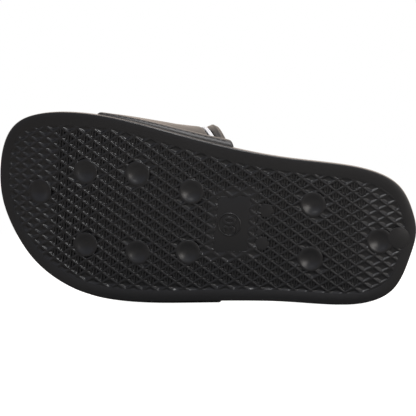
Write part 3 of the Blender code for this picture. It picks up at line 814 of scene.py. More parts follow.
def make_plaque():
    shape = bmesh.new()
    front = shape.faces.new([shape.verts.new((x, y, PLAQUE_SUNK)) for x, y in PLAQUE_CORNERS])
    grown = bmesh.ops.extrude_face_region(shape, geom=[front])["geom"]
    for item in grown:
        if isinstance(item, bmesh.types.BMVert):
            item.co.z = BOSS_BACK
    upright = [edge for edge in shape.edges if abs(edge.verts[0].co.z - edge.verts[1].co.z) > BOSS_BACK / 2]
    bmesh.ops.bevel(
        shape, geom=upright, offset=PLAQUE_CORNER, segments=5, profile=0.5, affect="EDGES", material=-1
    )
    rim = [edge for edge in shape.edges if all(vert.co.z < BOSS_BACK / 2 for vert in edge.verts)]
    bmesh.ops.bevel(
        shape, geom=rim, offset=PLAQUE_EDGE, segments=3, profile=0.5, affect="EDGES", material=-1
    )
    low = min(x for x, _ in PLAQUE_CORNERS)
    high = max(x for x, _ in PLAQUE_CORNERS)
    for step in range(1, PLAQUE_SLICES):
        x = low + (high - low) * step / PLAQUE_SLICES
        everything = list(shape.verts) + list(shape.edges) + list(shape.faces)
        bmesh.ops.bisect_plane(shape, geom=everything, plane_co=(x, 0, 0), plane_no=(1, 0, 0))
    bend(shape)
    bmesh.ops.recalc_face_normals(shape, faces=shape.faces)
    add_piece("size_plaque", shape, [SOLE_SKIN], sharp=40.0)


def make_number():
    """The number as a mesh: it reads towards the medial side, with its top towards the toe."""
    curve = bpy.data.curves.new("size_number", "FONT")
    curve.body = SIZE_NUMBER
    curve.extrude = NUMBER_RAISED / 2
    curve.bevel_depth = NUMBER_SOFT
    curve.bevel_resolution = 2
    curve.size = NUMBER_HEIGHT
    text = bpy.data.objects.new("size_number_text", curve)
    bpy.context.scene.collection.objects.link(text)
    bpy.context.view_layer.update()
    mesh = bpy.data.meshes.new_from_object(text.evaluated_get(bpy.context.evaluated_depsgraph_get()))
    bpy.data.objects.remove(text)
    shape = bmesh.new()
    shape.from_mesh(mesh)
    bpy.data.meshes.remove(mesh)
    bmesh.ops.remove_doubles(shape, verts=shape.verts, dist=1e-7)
    low = [min(vert.co[axis] for vert in shape.verts) for axis in range(2)]
    high = [max(vert.co[axis] for vert in shape.verts) for axis in range(2)]
    middle = (Vector((*low, 0.0)) + Vector((*high, 0.0))) / 2
    bmesh.ops.translate(shape, vec=-middle, verts=shape.verts)
    wide = NUMBER_WIDTH / (high[0] - low[0])
    tall = NUMBER_HEIGHT / (high[1] - low[1])
    bmesh.ops.scale(shape, vec=(wide, tall, 1.0), verts=shape.verts)
    reading = Matrix(((0, 1, 0), (1, 0, 0), (0, 0, -1))).to_4x4()
    place = Matrix.Translation((*NUMBER_CENTRE, PLAQUE_SUNK - NUMBER_RAISED / 2 + RING_SINK)) @ reading
    bmesh.ops.transform(shape, matrix=place, verts=shape.verts)
    bend(shape)
    bmesh.ops.recalc_face_normals(shape, faces=shape.faces)
    add_piece("size_number", shape, [SOLE_SKIN], sharp=60.0)


def make_number_ring():
    shape = bmesh.new()
    section = bmesh.ops.create_circle(
        shape, cap_ends=False, segments=RING_SECTION_SIDES, radius=RING_TUBE
    )["verts"]
    turn = Matrix.Translation((RING_RADIUS, 0, 0)) @ Matrix.Rotation(radians(90), 4, "X")
    bmesh.ops.transform(shape, matrix=turn, verts=section)
    around = {"axis": (0, 0, 1), "cent": (0, 0, 0), "angle": 2 * pi, "steps": RING_SIDES, "use_merge": True}
    bmesh.ops.spin(shape, geom=list(shape.verts) + list(shape.edges), **around)
    bmesh.ops.remove_doubles(shape, verts=shape.verts, dist=1e-7)
    bmesh.ops.translate(shape, vec=(*NUMBER_CENTRE, PLAQUE_SUNK + RING_SINK), verts=shape.verts)
    bend(shape)
    bmesh.ops.recalc_face_normals(shape, faces=shape.faces)
    add_piece("size_number_ring", shape, [SOLE_SKIN], sharp=60.0)


make_plaque()
make_number()
make_number_ring()

# Footbed: a contoured layer of closed-cell EVA foam, pressed with a fine pebble and laid in the top of the
# sole. It has a heel cup, a dished ball, a ridge under the toes and a raised arch.
FOOTBED_EDGE = 0.0009
# Marks to the metre: pebbles of 1.2 mm and pores of 0.4 mm.
PEBBLES = 800.0
PORES = 2500.0


def pressed_foam(name):
    """Closed-cell EVA foam, hot pressed: black, matt and dry, with a soft pebble of 1.2 mm."""
    made, tree, shader = new_material(name)
    place = add_node(tree, "ShaderNodeTexCoord").outputs["Object"]
    pebble = add_node(
        tree, "ShaderNodeTexVoronoi", {"feature": "SMOOTH_F1"}, {"Vector": place, "Scale": PEBBLES}
    )
    pores = add_node(tree, "ShaderNodeTexNoise", None, {"Vector": place, "Scale": PORES, "Detail": 2.0})
    shade = add_node(tree, "ShaderNodeMix", {"data_type": "RGBA"}, {"Factor": pores.outputs["Fac"]})
    shade.inputs[MIX_NONE].default_value = (*linear("#161617"), 1.0)
    shade.inputs[MIX_FULL].default_value = (*linear("#222223"), 1.0)
    tree.links.new(shade.outputs[MIX_RESULT], shader.inputs["Base Color"])
    coarse = add_node(tree, "ShaderNodeBump", None, {"Height": pebble.outputs["Distance"], "Strength": 0.6})
    coarse.inputs["Distance"].default_value = 0.0002
    fine = add_node(
        tree, "ShaderNodeBump", None,
        {"Height": pores.outputs["Fac"], "Distance": 0.00004, "Normal": coarse.outputs["Normal"]},
    )
    tree.links.new(fine.outputs["Normal"], shader.inputs["Normal"])
    shader.inputs["Roughness"].default_value = 0.72
    shader.inputs["Specular IOR Level"].default_value = 0.35
    return made


def footbed_side(x, _):
    """How far the footbed's side lies inside the outline."""
    return wall_inset(x, 1.0) + LAND_WIDTH + CLEARANCE


def footbed_under(x, across):
    """Height of the footbed's underside."""
    return footbed_top(x, across) - FOOTBED_THICKNESS


def make_footbed():
    shape = bmesh.new()
    rings = [outline_ring(shape, footbed_side, footbed_under)]
    for at in QUARTER:
        inset = FOOTBED_EDGE * (1 - cos(at))
        drop = FOOTBED_EDGE * (1 - sin(at))
        rings.append(
            outline_ring(
                shape,
                lambda x, _, inset=inset: footbed_side(x, 0) + inset,
                lambda x, across, drop=drop: footbed_top(x, across) - drop,
            )
        )
    for (_, one), (_, two) in zip(rings, rings[1:]):
        bmesh.ops.bridge_loops(shape, edges=one + two)
    close_over(shape, rings[0][0], footbed_under)
    close_over(shape, rings[-1][0], footbed_top)
    bmesh.ops.recalc_face_normals(shape, faces=shape.faces)
    foam = pressed_foam("black_pressed_foam")
    add_piece("foam_footbed", shape, [foam], stands_for="footbed")


make_footbed()

# Strap: a padded arch of black synthetic leather over foam, lined with knit. Its two hems hang over the
# sole's side wall down to the lip, and a groove parts the broad front panel from the rear roll.
STRAP_FRONT_STATION = 0.0480
STRAP_REAR_STATION = 0.1158
FRONT_SETBACK = 0.0100
REAR_SETBACK = 0.0240
CROWN_FRONT = 0.0460
CROWN_REAR = 0.0590
LATERAL_HEM_FRONT = 0.0040
LATERAL_HEM_REAR = 0.0045
MEDIAL_HEM_FRONT = 0.0031
MEDIAL_HEM_REAR = 0.0048
PANEL_THICKNESS = 0.0028
REAR_PANEL_THICKNESS = 0.0033
EDGE_THICKNESS = 0.0013
GROOVE_THICKNESS = 0.0013
GROOVE_WIDTH = 0.0030
REAR_PANEL_WIDTH = 0.0052
HEM_FULL = 0.2
HEM_END = 0.9
LATERAL_BULGE = 0.0055
MEDIAL_FRONT_BULGE = -0.0013
MEDIAL_REAR_BULGE = 0.0088
MEDIAL_BULGE_POWER = 2.6
FRONT_EDGE_POWER = 1.0
REAR_EDGE_POWER = 0.9
EDGE_SOFT = 0.0017
PANEL_CROWN = 0.0005
LINING_THICKNESS = 0.0007
LINING_GAP = 0.00004
HEM_ROUND = 0.0022
HEM_BLUNT = 0.50
HEM_TUCK = 0.30
PANEL_ROWS = 26
ROLL_ROWS = 12
EDGE_ROWS = 5
LEG_SHARES = (0.0, 0.02, 0.045, 0.08, 0.14, 0.24, 0.36, 0.5, 0.66, 0.83)
SPAN_STEPS = 110
SECTION_COUNT = 41
# The arch is counted in 24 parts, with 2 more for the leg on either side. On the lateral side the panels'
# crown starts 5 parts up, and the rear roll lies past 0.8 of the strap's width.
SPAN_PARTS = 24
LEG_PARTS = 2
CROWN_START = 5
ROLL_START = 0.8
ARCH_CURVE_STEPS = 24

ArchRow = namedtuple("ArchRow", "across up lateral_bulge medial_bulge")
ARCH = [
    ArchRow(-1.00, 0.00, 0.28, 0.00),
    ArchRow(-1.00, 0.24, 0.95, 0.00),
    ArchRow(-0.94, 0.50, 1.00, 0.00),
    ArchRow(-0.68, 0.80, 0.50, 0.00),
    ArchRow(-0.24, 0.98, 0.00, 0.00),
    ArchRow(0.28, 0.99, 0.00, 0.00),
    ArchRow(0.70, 0.82, 0.00, 0.50),
    ArchRow(0.95, 0.54, 0.00, 1.00),
    ArchRow(1.01, 0.26, 0.00, 0.90),
    ArchRow(1.00, 0.00, 0.00, 0.30),
]

# Creases as the strap takes them where it flexes: ends as shares from front to rear and from the lateral to
# the medial hem, with the trough's half width and depth.
Crease = namedtuple("Crease", "rear_along rear_arch front_along front_arch width depth")
CREASES = [
    Crease(0.99, 0.935, 0.30, 0.905, 0.0012, 0.00022),
    Crease(0.97, 0.925, 0.36, 0.880, 0.0014, 0.00018),
    Crease(0.94, 0.912, 0.45, 0.856, 0.0015, 0.00015),
    Crease(0.80, 0.880, 0.42, 0.826, 0.0018, 0.00012),
    Crease(0.99, 0.075, 0.28, 0.100, 0.0012, 0.00042),
    Crease(0.96, 0.092, 0.34, 0.128, 0.0014, 0.00036),
    Crease(0.90, 0.115, 0.48, 0.158, 0.0016, 0.00028),
]
CREASE_ALONG = 0.060
CREASE_ARCH = 0.165
# Each crease runs in and out over these shares of its length, with a low ridge beside its trough.
CREASE_IN = (-0.08, 0.10)
CREASE_OUT = (0.45, 1.0)
RIDGE_SHARE = 0.45
RIDGE_AWAY = 1.7


def arch_section(x):
    """Inner line of the strap from the lateral hem over the foot to the medial hem, across and up."""
    along = (station_of(x) * SOLE_LENGTH - STRAP_FRONT_STATION) / (STRAP_REAR_STATION - STRAP_FRONT_STATION)
    crown = CROWN_FRONT + (CROWN_REAR - CROWN_FRONT) * along
    base = ground(x) + LIP_HEIGHT + CLEARANCE
    tops = {-1: top_edge(x, -1.0), 1: top_edge(x, 1.0)}
    seats = {side: edge_y(side, x) - side * (wall_inset(x, 1.0) - CLEARANCE) for side in (-1, 1)}
    middle = (seats[1] + seats[-1]) / 2
    half = (seats[1] - seats[-1]) / 2
    opening = min(1.0, max(0.0, along)) ** MEDIAL_BULGE_POWER
    medial_bulge = MEDIAL_FRONT_BULGE + (MEDIAL_REAR_BULGE - MEDIAL_FRONT_BULGE) * opening
    controls = []
    for row in ARCH:
        foot = tops[-1] if row.across < 0 else tops[1]
        y = middle + row.across * half - row.lateral_bulge * LATERAL_BULGE + row.medial_bulge * medial_bulge
        controls.append((y, foot + row.up * (crown - foot)))
    free = evenly(spline(controls, False, ARCH_CURVE_STEPS), SPAN_STEPS)
    legs = {}
    for side in (-1, 1):
        legs[side] = []
        for share in LEG_SHARES:
            y = edge_y(side, x) - side * (wall_inset(x, share) - CLEARANCE)
            legs[side].append((y, base + (tops[side] - base) * share))
    return legs[-1] + [tuple(point) for point in free] + legs[1][::-1]


SECTION_STATIONS = np.linspace(STRAP_FRONT_STATION, STRAP_REAR_STATION, SECTION_COUNT)
SECTIONS = np.array([arch_section(SOLE_LENGTH / 2 - station) for station in SECTION_STATIONS])
ARCH_POINTS = SECTIONS.shape[1]


def arch_place(at):
    """Place of an arch point in parts of the arch, counted from the lateral hem."""
    if at < len(LEG_SHARES):
        return LEG_PARTS * LEG_SHARES[at]
    if at >= ARCH_POINTS - len(LEG_SHARES):
        return SPAN_PARTS + LEG_PARTS * (2 - LEG_SHARES[ARCH_POINTS - 1 - at])
    return LEG_PARTS + SPAN_PARTS * (at - len(LEG_SHARES)) / SPAN_STEPS


ARCH_PLACES = [arch_place(at) for at in range(ARCH_POINTS)]
ARCH_PARTS = SPAN_PARTS + 2 * LEG_PARTS


def strap_point(at, station):
    """Inner point of the strap and its outward direction, at a point of the arch and a station."""

    def place(index):
        return np.array([np.interp(station, SECTION_STATIONS, SECTIONS[:, index, axis]) for axis in (0, 1)])

    here = place(at)
    run = place(min(at + 1, ARCH_POINTS - 1)) - place(max(at - 1, 0))
    run /= np.sqrt((run**2).sum())
    return Vector((SOLE_LENGTH / 2 - station, *here)), Vector((0.0, -run[1], run[0]))


def strap_edges(arch_share):
    """Stations of the strap's front and rear edges at a share of the arch."""
    height = sin(pi * arch_share)
    front = STRAP_FRONT_STATION + FRONT_SETBACK * height**FRONT_EDGE_POWER
    return front, STRAP_REAR_STATION - REAR_SETBACK * height**REAR_EDGE_POWER


def shoulder(start, way, depth):
    """Rows of a rounded shoulder that rises from the edge's thickness, from start towards way."""
    rows = []
    for step in range(EDGE_ROWS + 1):
        at = radians(90.0 * step / EDGE_ROWS)
        rise = EDGE_THICKNESS + (depth - EDGE_THICKNESS) * sin(at)
        rows.append((start + way * EDGE_SOFT * (1 - cos(at)), rise))
    return rows if way > 0 else rows[::-1]


def panel_rows(start, end, depth, crown, count):
    """Rows of a padded panel between two distances: rounded shoulders and a crown between them."""
    inner = []
    for step in range(1, count):
        share = step / count
        distance = start + EDGE_SOFT + (end - start - 2 * EDGE_SOFT) * share
        inner.append((distance, depth + crown * sin(pi * share)))
    return shoulder(start, 1, depth) + inner + shoulder(end, -1, depth)


def strap_rows(width):
    """Distance from the front edge and thickness of each row of the strap, from front to rear."""
    rear_panel = width - REAR_PANEL_WIDTH
    groove = rear_panel - GROOVE_WIDTH
    front = panel_rows(0.0, groove, PANEL_THICKNESS, PANEL_CROWN, PANEL_ROWS)
    floor = [(groove + GROOVE_WIDTH * share, GROOVE_THICKNESS) for share in (0.12, 0.88)]
    return front + floor + panel_rows(rear_panel, width, REAR_PANEL_THICKNESS, PANEL_CROWN, ROLL_ROWS)


def crease_relief(along, arch_share):
    """Height that the creases take off the strap's face or add beside themselves."""
    relief = 0.0
    place = np.array((along * CREASE_ALONG, arch_share * CREASE_ARCH))
    for crease in CREASES:
        rear = np.array((crease.rear_along * CREASE_ALONG, crease.rear_arch * CREASE_ARCH))
        front = np.array((crease.front_along * CREASE_ALONG, crease.front_arch * CREASE_ARCH))
        run = front - rear
        share = float((place - rear) @ run / (run @ run))
        fade = smooth(share, *CREASE_IN) * (1.0 - smooth(share, *CREASE_OUT))
        if fade == 0.0:
            continue
        off = place - rear - run * share
        away = float(np.sqrt(off @ off)) / crease.width
        ridge = RIDGE_SHARE * np.exp(-((away - RIDGE_AWAY) ** 2))
        relief -= crease.depth * fade * (np.exp(-away * away) - ridge)
    return relief


def hem_thickness(along, width, front, rear):
    """Thickness of a hem at a share of the strap's width, rounded off at the front and rear edges."""
    inside = min(1.0, max(0.0, min(along, 1.0 - along) * width / EDGE_SOFT))
    full = front + (rear - front) * along
    return EDGE_THICKNESS + (full - EDGE_THICKNESS) * (1.0 - (1.0 - inside) ** 2) ** 0.5


def hem_end(at):
    """How far the strap has swelled to its full wall at an arch point, from 0 at its end to 1."""
    part = min(ARCH_PLACES[at], ARCH_PARTS - ARCH_PLACES[at])
    rise = min(1.0, part / LEG_PARTS * BALL_THICKNESS / HEM_ROUND)
    return (1.0 - (1.0 - rise) ** 2) ** 0.5


def strap_wall(at, along, width, depth):
    """Wall of the strap: the thick hem at the foot of each leg, rounded at its end, with the creases."""
    part = ARCH_PLACES[at]
    low = 1.0 - smooth(min(part, ARCH_PARTS - part) / LEG_PARTS, HEM_FULL, HEM_END)
    crown = smooth(part, LEG_PARTS + CROWN_START, ARCH_PARTS / 2) if part < ARCH_PARTS / 2 else 1.0
    flat = min(depth, REAR_PANEL_THICKNESS if along > ROLL_START else PANEL_THICKNESS)
    depth = flat * (1 - crown) + depth * crown
    hem = (LATERAL_HEM_FRONT, LATERAL_HEM_REAR)
    if part > ARCH_PARTS / 2:
        hem = (MEDIAL_HEM_FRONT, MEDIAL_HEM_REAR)
    wall = depth * (1.0 - low) + hem_thickness(along, width, *hem) * low
    wall *= HEM_BLUNT + (1.0 - HEM_BLUNT) * hem_end(at)
    if depth > (EDGE_THICKNESS + PANEL_THICKNESS) / 2:
        relief = crease_relief(along, part / ARCH_PARTS)
        wall += min(0.0, relief) if part < ARCH_PARTS / 2 else relief
    return wall


def strap_ring(row, low, high):
    """Closed ring of points over the arch at one row, between two heights off the strap's inner side."""
    inner = []
    outer = []
    for at in range(ARCH_POINTS):
        arch_share = ARCH_PLACES[at] / ARCH_PARTS
        front, rear = strap_edges(arch_share)
        distance, depth = strap_rows(rear - front)[row]
        point, outwards = strap_point(at, front + distance)
        wall = strap_wall(at, distance / (rear - front), rear - front, depth)
        tuck = HEM_TUCK * (1.0 - hem_end(at)) * wall
        inner.append(point + outwards * low(wall, tuck))
        outer.append(point + outwards * high(wall, tuck))
    return inner + outer[::-1]


def arched(rings):
    """Bmesh of a closed solid through rings over the arch, with a strip of faces over each end."""
    shape = bmesh.new()
    made = [add_ring(shape, ring) for ring in rings]
    for (_, one), (_, two) in zip(made, made[1:]):
        bmesh.ops.bridge_loops(shape, edges=one + two)
    for verts, _ in (made[0], made[-1]):
        count = len(verts)
        for at in range(count // 2 - 1):
            shape.faces.new((verts[at], verts[at + 1], verts[count - 2 - at], verts[count - 1 - at]))
    bmesh.ops.recalc_face_normals(shape, faces=shape.faces)
    return shape


# Marks to the metre: grain cells of 0.8 mm, clouds of 7 mm and the lining's courses of 0.7 mm.
LEATHER_CELLS = 1250.0
LEATHER_CLOUDS = 140.0
LINING_COURSES = 1400.0


def grained_leather(name):
    """Polyurethane-coated leather, embossed in rolls: black with a warm cast and a satin coat, and a grain of
    0.8 mm cells."""
    made, tree, shader = new_material(name)
    place = add_node(tree, "ShaderNodeTexCoord").outputs["Object"]
    cells = add_node(
        tree, "ShaderNodeTexVoronoi", {"feature": "F1"}, {"Vector": place, "Scale": LEATHER_CELLS}
    )
    cloud = add_node(
        tree, "ShaderNodeTexNoise", None, {"Vector": place, "Scale": LEATHER_CLOUDS, "Detail": 4.0}
    )
    shade = add_node(tree, "ShaderNodeMix", {"data_type": "RGBA"}, {"Factor": cloud.outputs["Fac"]})
    shade.inputs[MIX_NONE].default_value = (*linear("#191716"), 1.0)
    shade.inputs[MIX_FULL].default_value = (*linear("#24211f"), 1.0)
    tree.links.new(shade.outputs[MIX_RESULT], shader.inputs["Base Color"])
    dull = add_node(tree, "ShaderNodeMapRange", None, {"Value": cloud.outputs["Fac"]})
    dull.inputs["To Min"].default_value = 0.40
    dull.inputs["To Max"].default_value = 0.50
    tree.links.new(dull.outputs["Result"], shader.inputs["Roughness"])
    grain = add_node(tree, "ShaderNodeBump", None, {"Height": cells.outputs["Distance"], "Distance": 0.00012})
    grain.inputs["Strength"].default_value = 0.3
    tree.links.new(grain.outputs["Normal"], shader.inputs["Normal"])
    shader.inputs["Sheen Weight"].default_value = 0.12
    shader.inputs["Sheen Roughness"].default_value = 0.3
    shader.inputs["Sheen Tint"].default_value = (*linear("#e6cfbd"), 1.0)
    shader.inputs["Coat Weight"].default_value = 0.15
    shader.inputs["Coat Roughness"].default_value = 0.35
    return made


def lining_knit(name):
    """Warp-knitted polyester lining: black and matt, with fine courses of 0.7 mm."""
    made, tree, shader = new_material(name)
    place = add_node(tree, "ShaderNodeTexCoord").outputs["Object"]
    loops = add_node(
        tree, "ShaderNodeTexVoronoi", {"feature": "F1"}, {"Vector": place, "Scale": LINING_COURSES}
    )
    shade = add_node(tree, "ShaderNodeMix", {"data_type": "RGBA"}, {"Factor": loops.outputs["Distance"]})
    shade.inputs[MIX_NONE].default_value = (*linear("#29282a"), 1.0)
    shade.inputs[MIX_FULL].default_value = (*linear("#0e0e0f"), 1.0)
    tree.links.new(shade.outputs[MIX_RESULT], shader.inputs["Base Color"])
    relief = add_node(tree, "ShaderNodeBump", None, {"Height": loops.outputs["Distance"]})
    relief.inputs["Distance"].default_value = 0.00025
    tree.links.new(relief.outputs["Normal"], shader.inputs["Normal"])
    shader.inputs["Roughness"].default_value = 0.85
    shader.inputs["Sheen Weight"].default_value = 0.15
    return made


# The strap has as many rows at any width.
ROW_COUNT = len(strap_rows(STRAP_REAR_STATION - STRAP_FRONT_STATION))


def make_strap():
    cover = [
        strap_ring(row, lambda wall, tuck: LINING_THICKNESS + LINING_GAP + tuck, lambda wall, tuck: wall)
        for row in range(ROW_COUNT)
    ]
    leather = grained_leather("black_grained_leather")
    piece = add_piece("strap_cover", arched(cover), [leather], stands_for="strap", sharp=50.0)
    lining = [
        strap_ring(row, lambda wall, tuck: tuck, lambda wall, tuck: tuck + LINING_THICKNESS)
        for row in range(0, ROW_COUNT, 2)
    ]
    knit = lining_knit("black_lining_knit")
    add_piece("strap_lining", arched(lining), [knit], sharp=50.0)


make_strap()

# Hem stitches: a row of lock stitches along either hem, just above its end, sewn in dark polyester thread
# through cover and lining.
STITCH_PITCH = 0.0030
STITCH_LENGTH = 0.0022
STITCH_THICK = 0.00042
STITCH_INSET = 0.0025
STITCH_POINT = 2
THREAD_TWISTS = 900.0


def spun_thread(name):
    """Twisted polyester thread: dark grey against the leather, with a dull lustre."""
    made, tree, shader = new_material(name)
    place = add_node(tree, "ShaderNodeTexCoord").outputs["Object"]
    twist = add_node(tree, "ShaderNodeTexWave", None, {"Vector": place, "Scale": THREAD_TWISTS})
    shade = add_node(tree, "ShaderNodeMix", {"data_type": "RGBA"}, {"Factor": twist.outputs["Fac"]})
    shade.inputs[MIX_NONE].default_value = (*linear("#1f1e1e"), 1.0)
    shade.inputs[MIX_FULL].default_value = (*linear("#343231"), 1.0)
    tree.links.new(shade.outputs[MIX_RESULT], shader.inputs["Base Color"])
    shader.inputs["Roughness"].default_value = 0.55
    return made


def make_stitches():
    template_shape = bmesh.new()
    bmesh.ops.create_icosphere(template_shape, subdivisions=2, radius=0.5)
    stitch_size = (STITCH_LENGTH, STITCH_THICK, STITCH_THICK)
    bmesh.ops.scale(template_shape, vec=stitch_size, verts=template_shape.verts)
    template = bpy.data.meshes.new("stitch_template")
    template_shape.to_mesh(template)
    template_shape.free()
    thread = spun_thread("dark_spun_thread")
    for name, at in (("lateral", STITCH_POINT), ("medial", ARCH_POINTS - 1 - STITCH_POINT)):
        front, rear = strap_edges(ARCH_PLACES[at] / ARCH_PARTS)
        shape = bmesh.new()
        count = int((rear - front - 2 * STITCH_INSET) / STITCH_PITCH)
        for step in range(count + 1):
            station = front + STITCH_INSET + step * STITCH_PITCH
            along = (station - front) / (rear - front)
            point, outwards = strap_point(at, station)
            ahead, _ = strap_point(at, station - STITCH_PITCH / 2)
            wall = strap_wall(at, along, rear - front, PANEL_THICKNESS)
            way = (ahead - point).normalized()
            turn = Matrix((way, outwards.cross(way), outwards)).transposed().to_4x4()
            stamp(shape, template, Matrix.Translation(point + outwards * wall) @ turn)
        bmesh.ops.recalc_face_normals(shape, faces=shape.faces)
        add_piece(f"{name}_hem_stitches", shape, [thread])
    bpy.data.meshes.remove(template)


make_stitches()

# Inlay: a narrow white tape, warp knitted from polyester and glued to the floor of the groove between the
# strap's two panels.
TAPE_THICKNESS = 0.0010
TAPE_MARGIN = 0.0005
TAPE_STEPS = 8
TAPE_CROWN = 0.00025
TAPE_LOOP = 0.0009


def knitted_tape(name):
    """White polyester tape, warp knitted and matt: slanting loops of 0.9 mm, light grey between them."""
    made, tree, shader = new_material(name)
    place = add_node(tree, "ShaderNodeUVMap").outputs["UV"]
    loops = add_node(
        tree, "ShaderNodeTexWave", {"bands_direction": "DIAGONAL"},
        {"Vector": place, "Scale": 1.0, "Distortion": 0.6, "Detail": 1.0},
    )
    shade = add_node(tree, "ShaderNodeMix", {"data_type": "RGBA"}, {"Factor": loops.outputs["Fac"]})
    shade.inputs[MIX_NONE].default_value = (*linear("#dcdee1"), 1.0)
    shade.inputs[MIX_FULL].default_value = (*linear("#f2f3f4"), 1.0)
    tree.links.new(shade.outputs[MIX_RESULT], shader.inputs["Base Color"])
    relief = add_node(tree, "ShaderNodeBump", None, {"Height": loops.outputs["Fac"], "Distance": 0.0001})
    tree.links.new(relief.outputs["Normal"], shader.inputs["Normal"])
    shader.inputs["Roughness"].default_value = 0.85
    return made


def make_tape():
    rings = []
    width = GROOVE_WIDTH - 2 * TAPE_MARGIN
    for step in range(TAPE_STEPS + 1):
        share = step / TAPE_STEPS
        inner = []
        outer = []
        for at in range(len(LEG_SHARES), ARCH_POINTS - len(LEG_SHARES)):
            front, rear = strap_edges(ARCH_PLACES[at] / ARCH_PARTS)
            distance = rear - front - REAR_PANEL_WIDTH - GROOVE_WIDTH + TAPE_MARGIN + width * share
            point, outwards = strap_point(at, front + distance)
            along = distance / (rear - front)
            floor = strap_wall(at, along, rear - front, GROOVE_THICKNESS) + CLEARANCE
            inner.append(point + outwards * floor)
            outer.append(point + outwards * (floor + TAPE_THICKNESS - TAPE_CROWN * (2 * share - 1) ** 4))
        rings.append(inner + outer[::-1])
    shape = arched(rings)
    layer = shape.loops.layers.uv.new("tape")
    for face in shape.faces:
        for loop in face.loops:
            place = loop.vert.co
            loop[layer].uv = ((place.y + place.z) / TAPE_LOOP, (place.x * 2.0) / TAPE_LOOP)
    knit = knitted_tape("white_knitted_tape")
    add_piece("white_tape", shape, [knit], stands_for="inlay")


make_tape()

# Floor, light and camera: a wide pale floor in a white room and the camera at the photograph's angle. A soft
# light hangs overhead, a small one near the shoe gives the tread's ribs their glints, and another in front
# of the heel lightens that end.
CAMERA_AZIMUTH = radians(7.360)
CAMERA_ELEVATION = radians(-0.870)
CAMERA_ROLL = radians(-0.509)
CAMERA_DISTANCE = 0.6014
CAMERA_AIM_ACROSS = -0.00030
CAMERA_AIM_UP = 0.04672
PHOTO_SCALE = 0.0004968
PHOTO_SIZE = 416
SENSOR = 36.0
FLOOR_SIZE = 6.0
FLOOR_DROP = 0.0001
PAPER_FIBRES = 300.0
FLOOR_GLOW = 1.0
ROOM_FRONT = 0.5
ROOM_BACK = 1.5
ROOM_FRONT_TINT = "#f0f2ff"
ROOM_BACK_TINT = "#fff0e4"


def make_camera():
    back = Vector((
        sin(CAMERA_AZIMUTH) * cos(CAMERA_ELEVATION),
        -cos(CAMERA_AZIMUTH) * cos(CAMERA_ELEVATION),
        sin(CAMERA_ELEVATION),
    ))
    level = Vector((cos(CAMERA_AZIMUTH), sin(CAMERA_AZIMUTH), 0.0))
    upright = back.cross(level)
    right = level * cos(CAMERA_ROLL) + upright * sin(CAMERA_ROLL)
    up = back.cross(right)
    aim = right * CAMERA_AIM_ACROSS + up * CAMERA_AIM_UP
    data = bpy.data.cameras.new("camera")
    data.sensor_width = SENSOR
    data.lens = SENSOR * CAMERA_DISTANCE / PHOTO_SCALE / PHOTO_SIZE
    data.clip_start = 0.01
    camera = bpy.data.objects.new("camera", data)
    turn = Matrix((right, up, back)).transposed().to_4x4()
    camera.matrix_world = Matrix.Translation(aim + back * CAMERA_DISTANCE) @ turn
    bpy.context.scene.collection.objects.link(camera)
    bpy.context.scene.camera = camera


def add_light(name, place, aim, size, power, colour):
    """A square soft light at a place, aimed at a point."""
    data = bpy.data.lights.new(name, "AREA")
    data.shape = "SQUARE"
    data.size = size
    data.energy = power
    data.color = linear(colour)
    light = bpy.data.objects.new(name, data)
    light.location = place
    light.rotation_mode = "QUATERNION"
    light.rotation_quaternion = (Vector(aim) - Vector(place)).to_track_quat("-Z", "Y")
    bpy.context.scene.collection.objects.link(light)


def make_floor():
    """Pale paper that throws little light at the shoe and that the camera sees as white as the room."""
    shape = bmesh.new()
    bmesh.ops.create_grid(shape, x_segments=1, y_segments=1, size=FLOOR_SIZE)
    mesh = bpy.data.meshes.new("floor")
    shape.to_mesh(mesh)
    shape.free()
    made, tree, shader = new_material("white_paper")
    fibres = add_node(tree, "ShaderNodeTexNoise", None, {"Scale": PAPER_FIBRES})
    shade = add_node(tree, "ShaderNodeMix", {"data_type": "RGBA"}, {"Factor": fibres.outputs["Fac"]})
    shade.inputs[MIX_NONE].default_value = (*linear("#929291"), 1.0)
    shade.inputs[MIX_FULL].default_value = (*linear("#9a9a99"), 1.0)
    tree.links.new(shade.outputs[MIX_RESULT], shader.inputs["Base Color"])
    seen = add_node(tree, "ShaderNodeLightPath").outputs["Is Camera Ray"]
    glow = add_node(tree, "ShaderNodeMath", {"operation": "MULTIPLY"}, {0: seen, 1: FLOOR_GLOW})
    tree.links.new(glow.outputs["Value"], shader.inputs["Emission Strength"])
    shader.inputs["Emission Color"].default_value = (1.0, 1.0, 1.0, 1.0)
    shader.inputs["Roughness"].default_value = 0.9
    shader.inputs["Specular IOR Level"].default_value = 0.0
    mesh.materials.append(made)
    floor = bpy.data.objects.new("floor", mesh)
    floor.location.z = -FLOOR_DROP
    bpy.context.scene.collection.objects.link(floor)


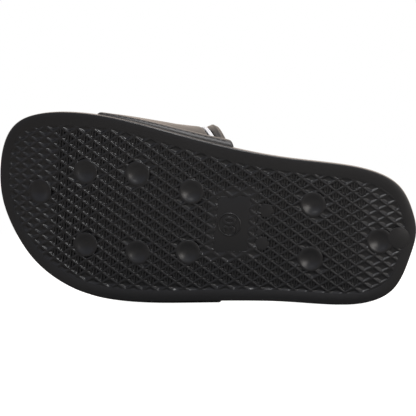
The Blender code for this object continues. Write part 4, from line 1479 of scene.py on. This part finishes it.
def make_room():
    """White surroundings: full white for the camera, and as a light bright behind and dim in front."""
    world = bpy.data.worlds.new("white_room")
    bpy.context.scene.world = world
    world.use_nodes = True
    tree = world.node_tree
    tree.nodes.clear()
    way = add_node(tree, "ShaderNodeTexCoord").outputs["Generated"]
    parts = add_node(tree, "ShaderNodeSeparateXYZ", None, {"Vector": way})
    behind = add_node(
        tree, "ShaderNodeMapRange", {"interpolation_type": "SMOOTHSTEP"},
        {"Value": parts.outputs["Y"], "From Min": -0.5, "From Max": 0.5},
    ).outputs["Result"]
    depth = add_node(
        tree, "ShaderNodeMapRange", None, {"Value": behind, "To Min": ROOM_FRONT, "To Max": ROOM_BACK}
    ).outputs["Result"]
    seen = add_node(tree, "ShaderNodeLightPath").outputs["Is Camera Ray"]
    strength = add_node(tree, "ShaderNodeMapRange", None, {"Value": seen, "To Min": depth, "To Max": 1.0})
    tint = add_node(tree, "ShaderNodeMix", {"data_type": "RGBA"}, {"Factor": behind})
    tint.inputs[MIX_NONE].default_value = (*linear(ROOM_FRONT_TINT), 1.0)
    tint.inputs[MIX_FULL].default_value = (*linear(ROOM_BACK_TINT), 1.0)
    shown = add_node(tree, "ShaderNodeMix", {"data_type": "RGBA"}, {"Factor": seen})
    tree.links.new(tint.outputs[MIX_RESULT], shown.inputs[MIX_NONE])
    shown.inputs[MIX_FULL].default_value = (1.0, 1.0, 1.0, 1.0)
    glow = add_node(tree, "ShaderNodeBackground", None, {"Strength": strength.outputs["Result"]})
    tree.links.new(shown.outputs[MIX_RESULT], glow.inputs["Color"])
    add_node(tree, "ShaderNodeOutputWorld", None, {"Surface": glow.outputs["Background"]})


make_camera()
make_floor()
make_room()
add_light("overhead", (0.05, -0.02, 0.9), (0.0, 0.0, 0.0), 0.3, 1.4, "#ffffff")
add_light("near", (0.0, -0.15, 0.175), (0.0, -0.03, 0.047), 0.04, 0.15, "#ffffff")
add_light("heel_side", (0.36, -0.50, 0.05), (0.08, -0.03, 0.05), 0.3, 1.5, "#fffaf4")
bpy.context.scene.view_settings.view_transform = "Standard"
